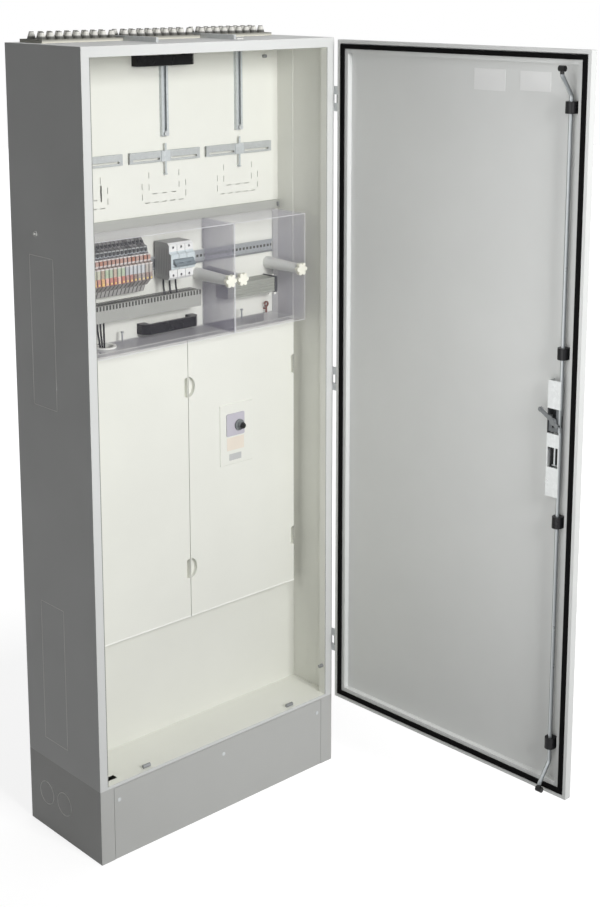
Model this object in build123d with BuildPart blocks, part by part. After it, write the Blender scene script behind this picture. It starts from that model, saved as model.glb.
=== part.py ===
from build123d import *
from math import cos, radians, sin
import os

os.makedirs("parts", exist_ok=True)

# Floor-standing electricity meter cabinet, shown with its door open.
# Millimetres. The origin is on the floor under the middle of the cabinet,
# the front faces -Y and +Z is up. Depths are measured back from the front plane.

# Overall sizes
width = 800.0
depth = 320.0
height = 2050.0
plinth_height = 200.0
sheet = 1.5

# Plinth
plinth_sheet = 2.5
plinth_post = 41.0
plinth_flange = 30.0
plinth_tab = 24.0
plinth_lip = 10.0
panel_gap = 1.0
anchor_inset_x = 40.0
anchor_inset_y = 35.0
anchor_radius = 6.0
knock_radius = 31.0
knock_height = 100.0
knock_depths = (164.0, 244.0)
score_width = 1.2
score_depth = 0.5

# Front frame and floor
frame_face = 25.0
frame_foot = 7.0
frame_return = 24.0
floor_drop = 1.5
strike_width = 30.0
strike_depth = 22.0

# Side walls
side_knock_depths = (140.0, 243.0)
side_knock_heights = ((259.0, 640.0), (1159.0, 1540.0))
plug_depth = 211.0
plug_height = 1593.0
plug_radius = 7.0

# Roof and cable entry plates
roof_cut_margin = 30.0
roof_cut_front = 215.0
roof_cut_back = 300.0
entry_thickness = 8.0
entry_lap = 6.0
entry_rim = 4.0
entry_floor = 4.0
entry_gap = 8.0
membrane_rows = 2
membrane_columns = 9
membrane_radius = 12.5
membrane_height = 22.0
membrane_sides = 12
membrane_taper = 17.0
clamp_height = 12.0
clamp_front = 75.0

# Wall fixing holes
wall_fix_inset = 60.0
wall_fix_low = 420.0
wall_fix_drop = 150.0
wall_fix_radius = 5.5

# Inner panels, in fields of one module
module = 250.0
fields = 3
rail_sheet = 2.5
rail_lap = 56.0
panel_depth = 218.0
cover_plate_depth = 130.0
back_plate_depth = 156.5
meter_panel_bottom = 1600.0
meter_panel_drop = 10.0
cross_rail_height = 23.0
cross_rail_depth = 7.0
terminal_panel_bottom = 1283.0
panel_hole_x = 102.0
panel_hole_heights = (1414.0, 1439.0)
panel_hole_radius = 3.0

# Meter crosses
cross_height = 1752.0
crossbar_length = 228.0
crossbar_width = 28.0
crossbar_sheet = 2.0
crossbar_lip = 6.0
crossbar_slot_x = 61.0
crossbar_slot_length = 86.0
crossbar_slot_width = 6.0
crossbar_slot_drop = 6.0
meter_rail_width = 22.0
meter_rail_depth = 10.0
meter_rail_sheet = 1.5
meter_rail_mouth = 9.0
meter_rail_bottom = 1803.0
meter_rail_drop = 20.0
strip_width = 5.0
strip_top = 1785.0
strip_bottom = 1703.0
strip_thickness = 2.0
strip_screw_head = 3.0
hook_length = 14.0
hook_clearance = 0.4
hook_neck = 6.0

# Perforated knock-outs of the meter panel
perforation_height = 1633.0
perforation_width = 136.0
perforation_rise = 71.0
perforation_dash = 16.0
perforation_slit = 1.6
perforation_rows = 22.0
key_slot_x = 51.0
key_slot_height = 1671.0
key_slot_length = 38.0
key_slot_width = 4.0

# Bow handles
handle_length = 184.0
handle_reach = 38.0
handle_bar = 27.0
handle_thickness = 12.0
upper_handle_drop = 52.0
handle_heights = (1308.0, height - upper_handle_drop)
handle_x = -5.0

# Clear covers, their posts and knobs
cover_front = 85.0
cover_sheet = 3.0
cover_split = 125.0
cover_gap = 1.0
post_inset = 20.0
post_height = 1427.0
post_radius_back = 17.0
post_radius_front = 13.0
knob_radius = 18.0
knob_lobes = 6
knob_lobe_radius = 5.5
knob_thickness = 11.0
knob_clearance = 0.4
knob_shank_radius = 4.0
knob_shank_length = 16.0
shank_clearance = 0.1

# Rail-mounted row
din_height = 1475.0
din_width = 35.0
din_flange = 4.0
din_depth = 7.5
din_sheet = 1.0
din_end_gap = 2.0
din_notch_gap = 1.0
terminal_count = 20
terminal_pitch = 12.4
terminal_right = -89.0
terminal_front = 155.0
terminal_bottom = 1411.0
terminal_top = 1551.0
terminal_gap = 0.4
clamp_width = 14.0
breaker_left = -40.0
breaker_pole = 26.0
breaker_poles = 3
breaker_front = 150.0
breaker_bottom = 1437.0
breaker_top = 1534.0
breaker_nose = 45.0
breaker_nose_reach = 8.0
breaker_bevel = 7.0
breaker_groove = 1.0
breaker_groove_depth = 2.0
toggle_radius = 7.0
toggle_reach = 9.0
toggle_finger = 12.0
toggle_clearance = 0.4
toggle_bar = 6.0
toggle_tilt = 35.0
breaker_screw_inset = 12.0
breaker_screw_radius = 3.5
breaker_screw_depth = 6.0

# Wiring ducts
duct_bottom = 1354.0
duct_height = 40.0
duct_front = 168.0
duct_wall = 2.0
duct_ends = (-366.0, 78.0)
duct_pitch = 10.0
duct_slot = 5.6
duct_slot_depth = 34.0
duct_cover_lip = 6.0
trunk_ends = (170.0, 352.0)
trunk_ribs = 4
trunk_cap = 14.0
trunk_cap_lap = 2.0
trunk_cap_round = 10.0

# Wires
wire_radius = 2.5
wire_sides = 8
wire_shift = 6.0
wire_bend = 80.0
breaker_wire_x = (-31.0, -11.0, 9.0)
breaker_wire_depth = 188.0
supply_wire_x = (-241.0, -231.0, -221.0)
supply_wire_depth = 190.0
supply_wire_end = 1256.0
grommet_x = -225.0
grommet_depth = 182.0
grommet_radius = 30.0
grommet_rim = 4.0
grommet_bore = 23.0
grommet_height = 10.0

# Small fittings of the middle compartment
eye_x = 340.0
eye_radius = 8.0
eye_wire = 2.0
eye_stem = 24.0
eye_height = 1312.0
eye_standoff = 10.0
pin_x = (-160.0, 242.0)
pin_depth = 196.0
pin_radius = 2.2
pin_length = 24.0
pin_head = 4.0

# Lower compartment
cover_plate_bottom = 512.0
cover_plate_top = 1277.0
cover_plate_gap = 2.0
notch_heights = (649.0, 1150.0)
notch_reach = 20.0
notch_height = 54.0
notch_depth = 12.0
back_plate_top = 1279.0

# Rotary switch
switch_left = 105.0
switch_width = 115.0
switch_bottom = 908.0
switch_height = 170.0
switch_sheet = 3.0
escutcheon_x = 157.0
escutcheon_z = 1020.0
escutcheon_size = 62.0
escutcheon_thickness = 3.0
dial_x = 168.0
dial_z = 1017.0
dial_radius = 15.0
dial_flange = 5.0
dial_barrel_radius = 9.0
dial_barrel = 11.0
dial_tip_radius = 7.5
dial_tip = 4.0
dial_clearance = 0.4

# Cover studs: x, depth, height of each
stud_places = ((-245.0, 15.0), (251.0, 15.0))
stud_length = 22.0
stud_radius = 5.0
frame_stud_height = 291.0
frame_stud_length = 12.0
panel_stud_inset = 31.0
panel_stud_drop = 45.0
panel_stud_length = 10.0
rail_slot_inset = 13.0
rail_slot_boss = 5.0

# Door, in its own plane: x from the hinge axis to the free edge, height, z inwards
hinge_x = 404.0
hinge_reach = 12.0
door_angle = 92.0
door_edge = 7.0
door_length = 794.0
door_bottom = 205.0
door_top = 2045.0
door_thickness = 20.0
door_sheet = 1.5
door_lip = 9.0
stiffener_inset = 10.0
stiffener_width = 24.0
stiffener_height = 15.0
gasket_width = 12.0
gasket_inset = 11.0
gasket_gap = 0.4

# Hinges
hinge_heights = (368.0, 1128.0, 1890.0)
hinge_length = 66.0
knuckle_radius = 4.2
knuckle_gap = 0.5
pin_hinge_radius = 2.2
pin_clearance = 0.08
leaf_sheet = 2.5
leaf_width = 34.0
leaf_length = 52.0

# Door lock
rod_x = 748.0
rod_level = 8.0
rod_radius = 5.0
rod_crank = 46.0
crank_length = 62.0
roller_radius = 7.0
roller_width = 16.0
roller_top = 2003.0
roller_bottom = 228.5
rod_travel = 20.0
guide_heights = (340.0, 915.0, 1333.0, 1913.0)
guide_width = 26.0
guide_height = 28.0
guide_clearance = 0.4
lock_x = 733.0
lock_width = 36.0
lock_below = 188.0
lock_above = 100.0
lock_level = 15.5
lock_sheet = 1.5
window_below = 65.0
window_height = 50.0
case_half = 31.0
cam_height = 1165.0
cam_radius = 9.0
cam_ear = 4.5
cam_arm = 44.0
cam_arm_width = 9.0
cam_angle = 147.0
cam_thickness = 4.0
cam_gap = 0.3
spindle_radius = 5.0
spindle_clearance = 0.1
boss_radius = 9.0
case_floor = 2.5
link_level = 11.0
link_sheet = 2.0
link_gap = 0.6
link_edge = 2.6
link_bar = 10.0
link_weld = 14.0
link_pin_radius = 2.0
pin_start = -45.0
dish_length = 190.0
dish_width = 40.0
dish_reach = 6.0
lever_length = 120.0
lever_width = 22.0
lever_thickness = 12.0
lever_standoff = 10.0

# Places worked out from the sizes above
left = -width / 2
right = width / 2
front = -depth / 2
back = depth / 2
meter_panel_top = height - meter_panel_drop
meter_rail_top = height - meter_rail_drop
opening_x = right - frame_face
opening_bottom = plinth_height + frame_foot
opening_top = height - frame_face
floor_top = opening_bottom - floor_drop
inner_half = fields * module / 2
panel_y = front + panel_depth
panel_back_y = panel_y + sheet
rail_back_y = panel_back_y + rail_sheet
back_plate_y = front + back_plate_depth
cover_y = front + cover_front
cover_plate_y = front + cover_plate_depth
terminal_panel_top = meter_panel_bottom - cross_rail_height
device_back_y = panel_y - din_depth
din_half = inner_half - cover_sheet - din_end_gap
field_centres = [module * (i - (fields - 1) / 2) for i in range(fields)]


def facing(y):
    """Vertical plane at y, seen from the front: x to the right, z up, normal towards -Y."""
    return Plane(origin=(0, y, 0), x_dir=(1, 0, 0), z_dir=(0, -1, 0))


def from_side(x):
    """Vertical plane at x: y to the right, z up, normal towards +X."""
    return Plane(origin=(x, 0, 0), x_dir=(0, 1, 0), z_dir=(1, 0, 0))


def span(x0, x1, y0, y1, mode=Mode.ADD):
    """Rectangle between two corners, in the open sketch."""
    with Locations(((x0 + x1) / 2, (y0 + y1) / 2)):
        Rectangle(x1 - x0, y1 - y0, mode=mode)


def save(part, name):
    """Label a finished piece and write it."""
    part.label = name
    export_step(part, f"parts/{name}.step")


# Plinth: two sides, back, front posts, top ring and floor flanges, welded to one frame
plinth_top_underside = plinth_height - plinth_sheet
with BuildPart() as plinth_frame:
    with BuildSketch():
        Rectangle(width, depth)
        Rectangle(width - 2 * plinth_sheet, depth - 2 * plinth_sheet, mode=Mode.SUBTRACT)
        span(left + plinth_post, right - plinth_post, front, front + plinth_sheet, Mode.SUBTRACT)
    extrude(amount=plinth_height)
    with BuildSketch(Plane.XY.offset(plinth_top_underside)):
        Rectangle(width, depth)
        span(left + plinth_flange, right - plinth_flange,
             front + plinth_lip, back - plinth_flange, Mode.SUBTRACT)
    extrude(amount=plinth_sheet)
    with BuildSketch():
        span(left, right, front + plinth_sheet, back)
        span(left + plinth_flange * 2, right - plinth_flange * 2,
             front, back - plinth_flange * 2, Mode.SUBTRACT)
    extrude(amount=plinth_sheet)
    with BuildSketch(facing(front + 2 * plinth_sheet)):
        span(left + plinth_sheet, left + plinth_post + plinth_tab, 0, plinth_height)
        span(right - plinth_post - plinth_tab, right - plinth_sheet, 0, plinth_height)
        span(-plinth_tab, plinth_tab, plinth_height - 2 * plinth_flange, plinth_height)
    extrude(amount=plinth_sheet)
    with BuildSketch(Plane.XY):
        with GridLocations(width - 2 * anchor_inset_x, depth - 2 * anchor_inset_y, 2, 2):
            Circle(anchor_radius)
    extrude(amount=plinth_sheet, mode=Mode.SUBTRACT)
    for side_x in (left, right - score_depth):
        with BuildSketch(from_side(side_x)):
            with Locations(*[(front + d, knock_height) for d in knock_depths]):
                Circle(knock_radius + score_width)
                Circle(knock_radius, mode=Mode.SUBTRACT)
        extrude(amount=score_depth, mode=Mode.SUBTRACT)
save(plinth_frame.part, "plinth_frame")

plinth_panel_half = right - plinth_post - panel_gap
plinth_screw_x = plinth_panel_half - 15.0
plinth_screw_z = 161.0
plinth_screw_head = 5.0
with BuildPart() as plinth_panel:
    with BuildSketch(facing(front + plinth_sheet)):
        span(-plinth_panel_half, plinth_panel_half, panel_gap, plinth_top_underside - panel_gap)
        with Locations(*[(x, plinth_screw_z) for x in (-plinth_screw_x, 0, plinth_screw_x)]):
            Circle(plinth_screw_head / 2, mode=Mode.SUBTRACT)
    extrude(amount=plinth_sheet)
save(plinth_panel.part, "plinth_panel")

with BuildPart() as plinth_screws:
    for x in (-plinth_screw_x, 0, plinth_screw_x):
        with BuildSketch(facing(front)):
            with Locations((x, plinth_screw_z)):
                Circle(plinth_screw_head)
        extrude(amount=1.2)
        with BuildSketch(facing(front + plinth_sheet)):
            with Locations((x, plinth_screw_z)):
                Circle(plinth_screw_head / 2)
        extrude(amount=plinth_sheet)
save(plinth_screws.part, "plinth_screws")

# Body: side walls with scored knock-outs, rear wall, roof, floor
def side_wall(inner_x, outer_x, name):
    """One side wall with its scored cable knock-outs on the outside."""
    low_x = min(inner_x, outer_x)
    score_x = outer_x if outer_x < inner_x else outer_x - score_depth
    with BuildPart() as wall:
        with BuildSketch(from_side(low_x)):
            span(front + sheet, back - sheet, plinth_height, height - sheet)
        extrude(amount=sheet)
        with BuildSketch(from_side(score_x)):
            for bottom, top in side_knock_heights:
                y0 = front + side_knock_depths[0]
                y1 = front + side_knock_depths[1]
                span(y0, y1, bottom, top)
                span(y0 + score_width, y1 - score_width,
                     bottom + score_width, top - score_width, Mode.SUBTRACT)
        extrude(amount=score_depth, mode=Mode.SUBTRACT)
    save(wall.part, name)


side_wall(left + sheet, left, "left_wall")
side_wall(right - sheet, right, "right_wall")

with BuildPart() as side_plug:
    with BuildSketch(from_side(left)):
        with Locations((front + plug_depth, plug_height)):
            Circle(plug_radius)
    extrude(amount=-3.0)
    fillet(side_plug.faces().sort_by(Axis.X)[0].edges(), 1.5)
    with BuildSketch(from_side(left - 3.0)):
        with Locations((front + plug_depth, plug_height)):
            Circle(plug_radius / 2)
    extrude(amount=-5.0)
save(side_plug.part, "side_plug")

with BuildPart() as rear_wall:
    with BuildSketch(facing(back)):
        span(left, right, plinth_height, height - sheet)
        with Locations(*[(x, z) for x in (left + wall_fix_inset, right - wall_fix_inset)
                         for z in (wall_fix_low, height - wall_fix_drop)]):
            Circle(wall_fix_radius, mode=Mode.SUBTRACT)
    extrude(amount=sheet)
save(rear_wall.part, "rear_wall")

with BuildPart() as roof:
    with BuildSketch(Plane.XY.offset(height - sheet)):
        span(left, right, front + sheet, back)
        span(left + roof_cut_margin, right - roof_cut_margin,
             front + roof_cut_front, front + roof_cut_back, Mode.SUBTRACT)
    extrude(amount=sheet)
save(roof.part, "roof")

strike_x = hinge_x - rod_x
strike_y = front + rod_crank - hinge_reach
with BuildPart() as floor_plate:
    with BuildSketch(Plane.XY.offset(plinth_height)):
        span(left + sheet, right - sheet, front + frame_return, back - sheet)
    extrude(amount=floor_top - plinth_height)
    with BuildSketch(Plane.XY.offset(plinth_height)):
        span(left + 2 * sheet, right - 2 * sheet, front + frame_return + sheet, back - 2 * sheet)
    extrude(amount=floor_top - plinth_height - sheet, mode=Mode.SUBTRACT)
    with BuildSketch(Plane.XY.offset(plinth_height)):
        span(strike_x - strike_width / 2, strike_x + strike_width / 2,
             front + frame_return, strike_y + strike_depth / 2)
    extrude(amount=frame_foot, mode=Mode.SUBTRACT)
save(floor_plate.part, "floor_plate")

# Front frame: a rolled ring, with its face in front and a closed return behind
frame_back_y = front + frame_return
with BuildPart() as front_frame:
    with BuildSketch(facing(frame_back_y)):
        span(left, right, plinth_height, height)
        span(-opening_x, opening_x, opening_bottom, opening_top, Mode.SUBTRACT)
    extrude(amount=frame_return)
    with BuildSketch(facing(frame_back_y)):
        span(left, -opening_x - sheet, plinth_height, height - sheet)
        span(opening_x + sheet, right, plinth_height, height - sheet)
        span(left, right, opening_top + sheet, height)
        span(left, right, plinth_height, opening_bottom - sheet)
    extrude(amount=frame_return - sheet, mode=Mode.SUBTRACT)
    with BuildSketch(facing(frame_back_y)):
        for side in (-1, 1):
            span(min(side * opening_x, side * (right - sheet)),
                 max(side * opening_x, side * (right - sheet)),
                 floor_top, opening_top)
        span(left + sheet, right - sheet, opening_top, height - sheet)
    extrude(amount=sheet)
save(front_frame.part, "front_frame")

# Cable entry plates: a rimmed tray with rows of conical membranes, each cut open for its cable
entry_pitch = (width - 2 * roof_cut_margin) / fields
entry_y = (roof_cut_front + roof_cut_back) / 2 + front
entry_depth = roof_cut_back - roof_cut_front + 2 * entry_lap
entry_width = entry_pitch - entry_gap
entry_inner_width = entry_width - 2 * entry_rim
entry_inner_depth = entry_depth - 2 * entry_rim
membrane_pitch_x = entry_inner_width / membrane_columns
membrane_pitch_y = entry_inner_depth / membrane_rows
with BuildPart() as entry_plates:
    for i in range(fields):
        entry_x = entry_pitch * (i - (fields - 1) / 2)
        with BuildSketch(Plane.XY.offset(height)):
            with Locations((entry_x, entry_y)):
                Rectangle(entry_width, entry_depth)
        extrude(amount=entry_thickness)
        with BuildSketch(Plane.XY.offset(height + entry_floor)):
            with Locations((entry_x, entry_y)):
                Rectangle(entry_inner_width, entry_inner_depth)
        extrude(amount=entry_thickness - entry_floor, mode=Mode.SUBTRACT)
        with BuildSketch(Plane.XY.offset(height + entry_floor)):
            with Locations((entry_x, entry_y)):
                with GridLocations(membrane_pitch_x, membrane_pitch_y,
                                   membrane_columns, membrane_rows):
                    RegularPolygon(membrane_radius, membrane_sides)
        extrude(amount=membrane_height, taper=membrane_taper)
save(entry_plates.part, "entry_plates")

with BuildPart() as entry_clamps:
    for i in range(fields - 1):
        clamp_x = entry_pitch * (i - (fields - 2) / 2)
        with BuildSketch(Plane.XY.offset(height)):
            with Locations((clamp_x, (front + clamp_front + back - sheet) / 2)):
                Rectangle(entry_gap - 1.0, depth - clamp_front - sheet)
        extrude(amount=clamp_height)
save(entry_clamps.part, "entry_clamps")

# Mounting rails: angles on the side walls that carry the inner panels
with BuildPart() as mounting_rails:
    for side in (-1, 1):
        outer = side * (right - sheet)
        with BuildSketch(Plane.XY.offset(floor_top)):
            ends = sorted((outer, outer - side * rail_sheet))
            span(ends[0], ends[1], back_plate_y + sheet, rail_back_y)
            ends = sorted((outer, outer - side * rail_lap))
            span(ends[0], ends[1], panel_back_y, rail_back_y)
        extrude(amount=height - sheet - floor_top)
save(mounting_rails.part, "mounting_rails")

# Meter panel with perforated knock-outs under each meter place
with BuildPart() as meter_panel:
    with BuildSketch(facing(panel_back_y)):
        span(-inner_half, inner_half, meter_panel_bottom, meter_panel_top)
        for centre in field_centres:
            for row, inset in ((0, 0.0), (1, perforation_rows)):
                low = perforation_height + inset
                half = perforation_width / 2 - inset
                dashes = int(2 * half / (perforation_dash * 1.5))
                step = 2 * half / dashes
                with Locations(*[(centre - half + step * (k + 0.5), low)
                                 for k in range(dashes)]):
                    Rectangle(perforation_dash, perforation_slit, mode=Mode.SUBTRACT)
                rises = int((perforation_rise - inset) / (perforation_dash * 1.5))
                for k in range(rises):
                    z = low + step * (k + 0.6)
                    with Locations((centre - half - 3, z), (centre + half + 3, z)):
                        Rectangle(perforation_slit, perforation_dash, mode=Mode.SUBTRACT)
        with Locations((field_centres[0] + key_slot_x, key_slot_height)):
            SlotCenterToCenter(key_slot_length, key_slot_width, rotation=90, mode=Mode.SUBTRACT)
    extrude(amount=sheet)
save(meter_panel.part, "meter_panel")

with BuildPart() as cross_rail:
    rail_half = right - sheet - rail_sheet
    with BuildSketch(from_side(-rail_half)):
        span(panel_y - cross_rail_depth, panel_back_y, terminal_panel_top, meter_panel_bottom)
        span(panel_y - cross_rail_depth + sheet, panel_back_y,
             terminal_panel_top + sheet, meter_panel_bottom - sheet, Mode.SUBTRACT)
    extrude(amount=2 * rail_half)
save(cross_rail.part, "cross_rail")

# Meter crosses: C-rails, slotted crossbars, centre strips and hooks that slide in the rails
rail_front_y = panel_y - meter_rail_depth
with BuildPart() as meter_rails:
    for centre in field_centres:
        with BuildSketch(Plane.XY.offset(meter_rail_bottom)):
            span(centre - meter_rail_width / 2, centre + meter_rail_width / 2,
                 rail_front_y, panel_y)
            span(centre - meter_rail_width / 2 + meter_rail_sheet,
                 centre + meter_rail_width / 2 - meter_rail_sheet,
                 rail_front_y + meter_rail_sheet, panel_y - meter_rail_sheet, Mode.SUBTRACT)
            span(centre - meter_rail_mouth / 2, centre + meter_rail_mouth / 2,
                 rail_front_y, rail_front_y + meter_rail_sheet, Mode.SUBTRACT)
        extrude(amount=meter_rail_top - meter_rail_bottom)
save(meter_rails.part, "meter_rails")

crossbar_face_y = panel_y - crossbar_lip
lip_z = cross_height - crossbar_width / 2
with BuildPart() as crossbars:
    for centre in field_centres:
        with BuildSketch(facing(crossbar_face_y)):
            with Locations((centre, cross_height)):
                Rectangle(crossbar_length, crossbar_width)
            with Locations((centre - crossbar_slot_x, cross_height - crossbar_slot_drop),
                           (centre + crossbar_slot_x, cross_height - crossbar_slot_drop)):
                SlotOverall(crossbar_slot_length, crossbar_slot_width, mode=Mode.SUBTRACT)
        extrude(amount=crossbar_sheet)
        with BuildSketch(facing(panel_y)):
            for z in (lip_z, lip_z + crossbar_width - crossbar_sheet):
                span(centre - crossbar_length / 2, centre + crossbar_length / 2,
                     z, z + crossbar_sheet)
        extrude(amount=crossbar_lip)
save(crossbars.part, "crossbars")

strip_y = crossbar_face_y - crossbar_sheet
strip_foot_z = strip_bottom + strip_width / 2
with BuildPart() as centre_strips:
    for centre in field_centres:
        with BuildSketch(facing(strip_y)):
            span(centre - strip_width / 2, centre + strip_width / 2, strip_bottom, strip_top)
            with Locations((centre, cross_height)):
                Rectangle(crossbar_width, crossbar_width)
        extrude(amount=strip_thickness)
        with BuildSketch(facing(panel_y)):
            with Locations((centre, strip_foot_z)):
                Circle(strip_width / 2)
        extrude(amount=panel_y - strip_y + strip_thickness + strip_screw_head)
save(centre_strips.part, "centre_strips")

hook_half = meter_rail_width / 2 - meter_rail_sheet - hook_clearance
hook_y = panel_y - meter_rail_sheet - hook_clearance
hook_head = rail_front_y + meter_rail_sheet + hook_clearance
hook_z = meter_rail_bottom + hook_length / 2
for i, centre in enumerate(field_centres):
    with BuildPart() as meter_hook:
        with BuildSketch(facing(hook_y)):
            with Locations((centre, hook_z)):
                Rectangle(2 * hook_half, hook_length)
        extrude(amount=hook_y - hook_head)
        with BuildSketch(facing(hook_head)):
            with Locations((centre, hook_z)):
                Circle(meter_rail_mouth / 2 - hook_clearance)
        extrude(amount=hook_neck)
        with BuildSketch(facing(hook_head - hook_neck)):
            with Locations((centre, hook_z)):
                Circle(meter_rail_mouth / 2 + 2.0)
        extrude(amount=3.0)
    save(meter_hook.part, f"meter_hook_{i + 1}")

# Bow handles
bow_half = handle_length / 2
bow_run = handle_reach * 0.45
bow_leg = 2 * handle_thickness
with BuildPart() as pull_handles:
    for z in handle_heights:
        with BuildSketch(Plane.XY.offset(z - handle_bar / 2)):
            with BuildLine():
                Polyline(
                    (handle_x - bow_half, panel_y),
                    (handle_x - bow_half, panel_y - handle_reach + bow_run),
                    (handle_x - bow_half + bow_run, panel_y - handle_reach),
                    (handle_x + bow_half - bow_run, panel_y - handle_reach),
                    (handle_x + bow_half, panel_y - handle_reach + bow_run),
                    (handle_x + bow_half, panel_y),
                    (handle_x + bow_half - bow_leg, panel_y),
                    (handle_x + bow_half - bow_leg, panel_y - handle_reach + handle_thickness),
                    (handle_x - bow_half + bow_leg, panel_y - handle_reach + handle_thickness),
                    (handle_x - bow_half + bow_leg, panel_y),
                    close=True)
            make_face()
        extrude(amount=handle_bar)
    bow_fronts = pull_handles.faces().sort_by(Axis.Y)[0:2]
    fillet(bow_fronts.edges().filter_by(Axis.X), 3.0)
save(pull_handles.part, "pull_handles")

# Terminal panel
with BuildPart() as terminal_panel:
    with BuildSketch(facing(panel_back_y)):
        span(-inner_half, inner_half, terminal_panel_bottom, terminal_panel_top)
        with Locations(*[(panel_hole_x, z) for z in panel_hole_heights]):
            Circle(panel_hole_radius, mode=Mode.SUBTRACT)
    extrude(amount=sheet)
save(terminal_panel.part, "terminal_panel")

# DIN rail: top-hat section
with BuildPart() as din_rail:
    with BuildSketch(from_side(-din_half)):
        hat_half = din_width / 2
        web_half = hat_half - din_flange - din_sheet
        span(panel_y - din_sheet, panel_y, din_height - web_half, din_height + web_half)
        for side in (-1, 1):
            a = din_height + side * web_half
            b = a - side * din_sheet
            span(panel_y - din_depth, panel_y, min(a, b), max(a, b))
            c = din_height + side * hat_half
            span(panel_y - din_depth, panel_y - din_depth + din_sheet, min(a, c), max(a, c))
    extrude(amount=2 * din_half)
save(din_rail.part, "din_rail")


# Stepped side outline of a four-level terminal block
block_y = front + terminal_front
block_rise = terminal_top - terminal_bottom
block_outline = (
    (device_back_y, terminal_bottom),
    (device_back_y - 14, terminal_bottom),
    (device_back_y - 22, terminal_bottom + 0.12 * block_rise),
    (device_back_y - 30, terminal_bottom + 0.14 * block_rise),
    (block_y + 8, terminal_bottom + 0.26 * block_rise),
    (block_y, terminal_bottom + 0.28 * block_rise),
    (block_y, terminal_bottom + 0.58 * block_rise),
    (block_y + 8, terminal_bottom + 0.60 * block_rise),
    (block_y + 10, terminal_bottom + 0.72 * block_rise),
    (block_y + 20, terminal_bottom + 0.74 * block_rise),
    (block_y + 23, terminal_bottom + 0.86 * block_rise),
    (block_y + 33, terminal_bottom + 0.88 * block_rise),
    (device_back_y - 8, terminal_top),
    (device_back_y, terminal_top),
)

# Terminal blocks, side by side on the rail
with BuildPart() as terminal_blocks:
    for k in range(terminal_count):
        block_x = terminal_right - (k + 1) * terminal_pitch
        with BuildSketch(from_side(block_x)):
            with BuildLine():
                Polyline(*block_outline, close=True)
            make_face()
        extrude(amount=terminal_pitch - terminal_gap)
save(terminal_blocks.part, "terminal_blocks")

with BuildPart() as end_clamp:
    with BuildSketch(from_side(terminal_right)):
        y_low = device_back_y - 34
        span(y_low, device_back_y, din_height - 28, din_height + 26)
        span(y_low, y_low + 12, din_height + 12, din_height + 26, Mode.SUBTRACT)
    extrude(amount=clamp_width)
save(end_clamp.part, "end_clamp")

# Three-pole breaker: bevelled housings side by side with raised noses, screws above and below
breaker_y = front + breaker_front
breaker_mid = (breaker_bottom + breaker_top) / 2
breaker_width = breaker_pole * breaker_poles
breaker_centre = breaker_left + breaker_width / 2
nose_y = breaker_y - breaker_nose_reach
nose_bottom = breaker_mid - breaker_nose / 2
nose_top = breaker_mid + breaker_nose / 2
pole_centres = [breaker_left + breaker_pole * (k + 0.5) for k in range(breaker_poles)]
toggle_width = breaker_pole * (breaker_poles - 1) + toggle_finger
toggle_x = breaker_centre - toggle_width / 2
breaker_outline = (
    (device_back_y, breaker_bottom),
    (breaker_y + breaker_bevel, breaker_bottom),
    (breaker_y, breaker_bottom + breaker_bevel),
    (breaker_y, nose_bottom),
    (nose_y, nose_bottom + breaker_bevel / 2),
    (nose_y, nose_top - breaker_bevel / 2),
    (breaker_y, nose_top),
    (breaker_y, breaker_top - breaker_bevel),
    (breaker_y + breaker_bevel, breaker_top),
    (device_back_y, breaker_top),
)
with BuildPart() as breaker_body:
    with BuildSketch(from_side(breaker_left)):
        with BuildLine():
            Polyline(*breaker_outline, close=True)
        make_face()
    extrude(amount=breaker_width)
    with BuildSketch(from_side(toggle_x - toggle_clearance)):
        with Locations((nose_y, breaker_mid)):
            Circle(toggle_radius + toggle_clearance)
    extrude(amount=toggle_width + 2 * toggle_clearance, mode=Mode.SUBTRACT)
    with BuildSketch(facing(breaker_y + breaker_groove_depth)):
        for k in range(1, breaker_poles):
            x = breaker_left + breaker_pole * k
            span(x - breaker_groove / 2, x + breaker_groove / 2, breaker_bottom, breaker_top)
    extrude(amount=breaker_groove_depth + breaker_nose_reach, mode=Mode.SUBTRACT)
    with BuildSketch(facing(breaker_y)):
        with Locations(*[(x, z) for x in pole_centres
                         for z in (breaker_top - breaker_screw_inset,
                                   breaker_bottom + breaker_screw_inset)]):
            Circle(breaker_screw_radius)
    extrude(amount=-breaker_screw_depth, mode=Mode.SUBTRACT)
save(breaker_body.part, "breaker_body")

# Its toggle: a shaft across the poles, a finger for each pole and a tie bar at their tips
toggle_arm = toggle_radius + toggle_reach
toggle_turn = radians(180 + toggle_tilt)
with BuildPart() as breaker_toggle:
    with BuildSketch(from_side(toggle_x)):
        with Locations((nose_y, breaker_mid)):
            Circle(toggle_radius)
        with Locations((nose_y + (toggle_arm - toggle_bar / 2) * cos(toggle_turn),
                        breaker_mid + (toggle_arm - toggle_bar / 2) * sin(toggle_turn))):
            Rectangle(toggle_bar, toggle_bar, rotation=180 + toggle_tilt)
    extrude(amount=toggle_width)
    for x in pole_centres:
        with BuildSketch(from_side(x - toggle_finger / 2)):
            with Locations((nose_y + toggle_arm / 2 * cos(toggle_turn),
                            breaker_mid + toggle_arm / 2 * sin(toggle_turn))):
                Rectangle(toggle_arm, toggle_bar, rotation=180 + toggle_tilt)
        extrude(amount=toggle_finger)
save(breaker_toggle.part, "breaker_toggle")

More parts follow.
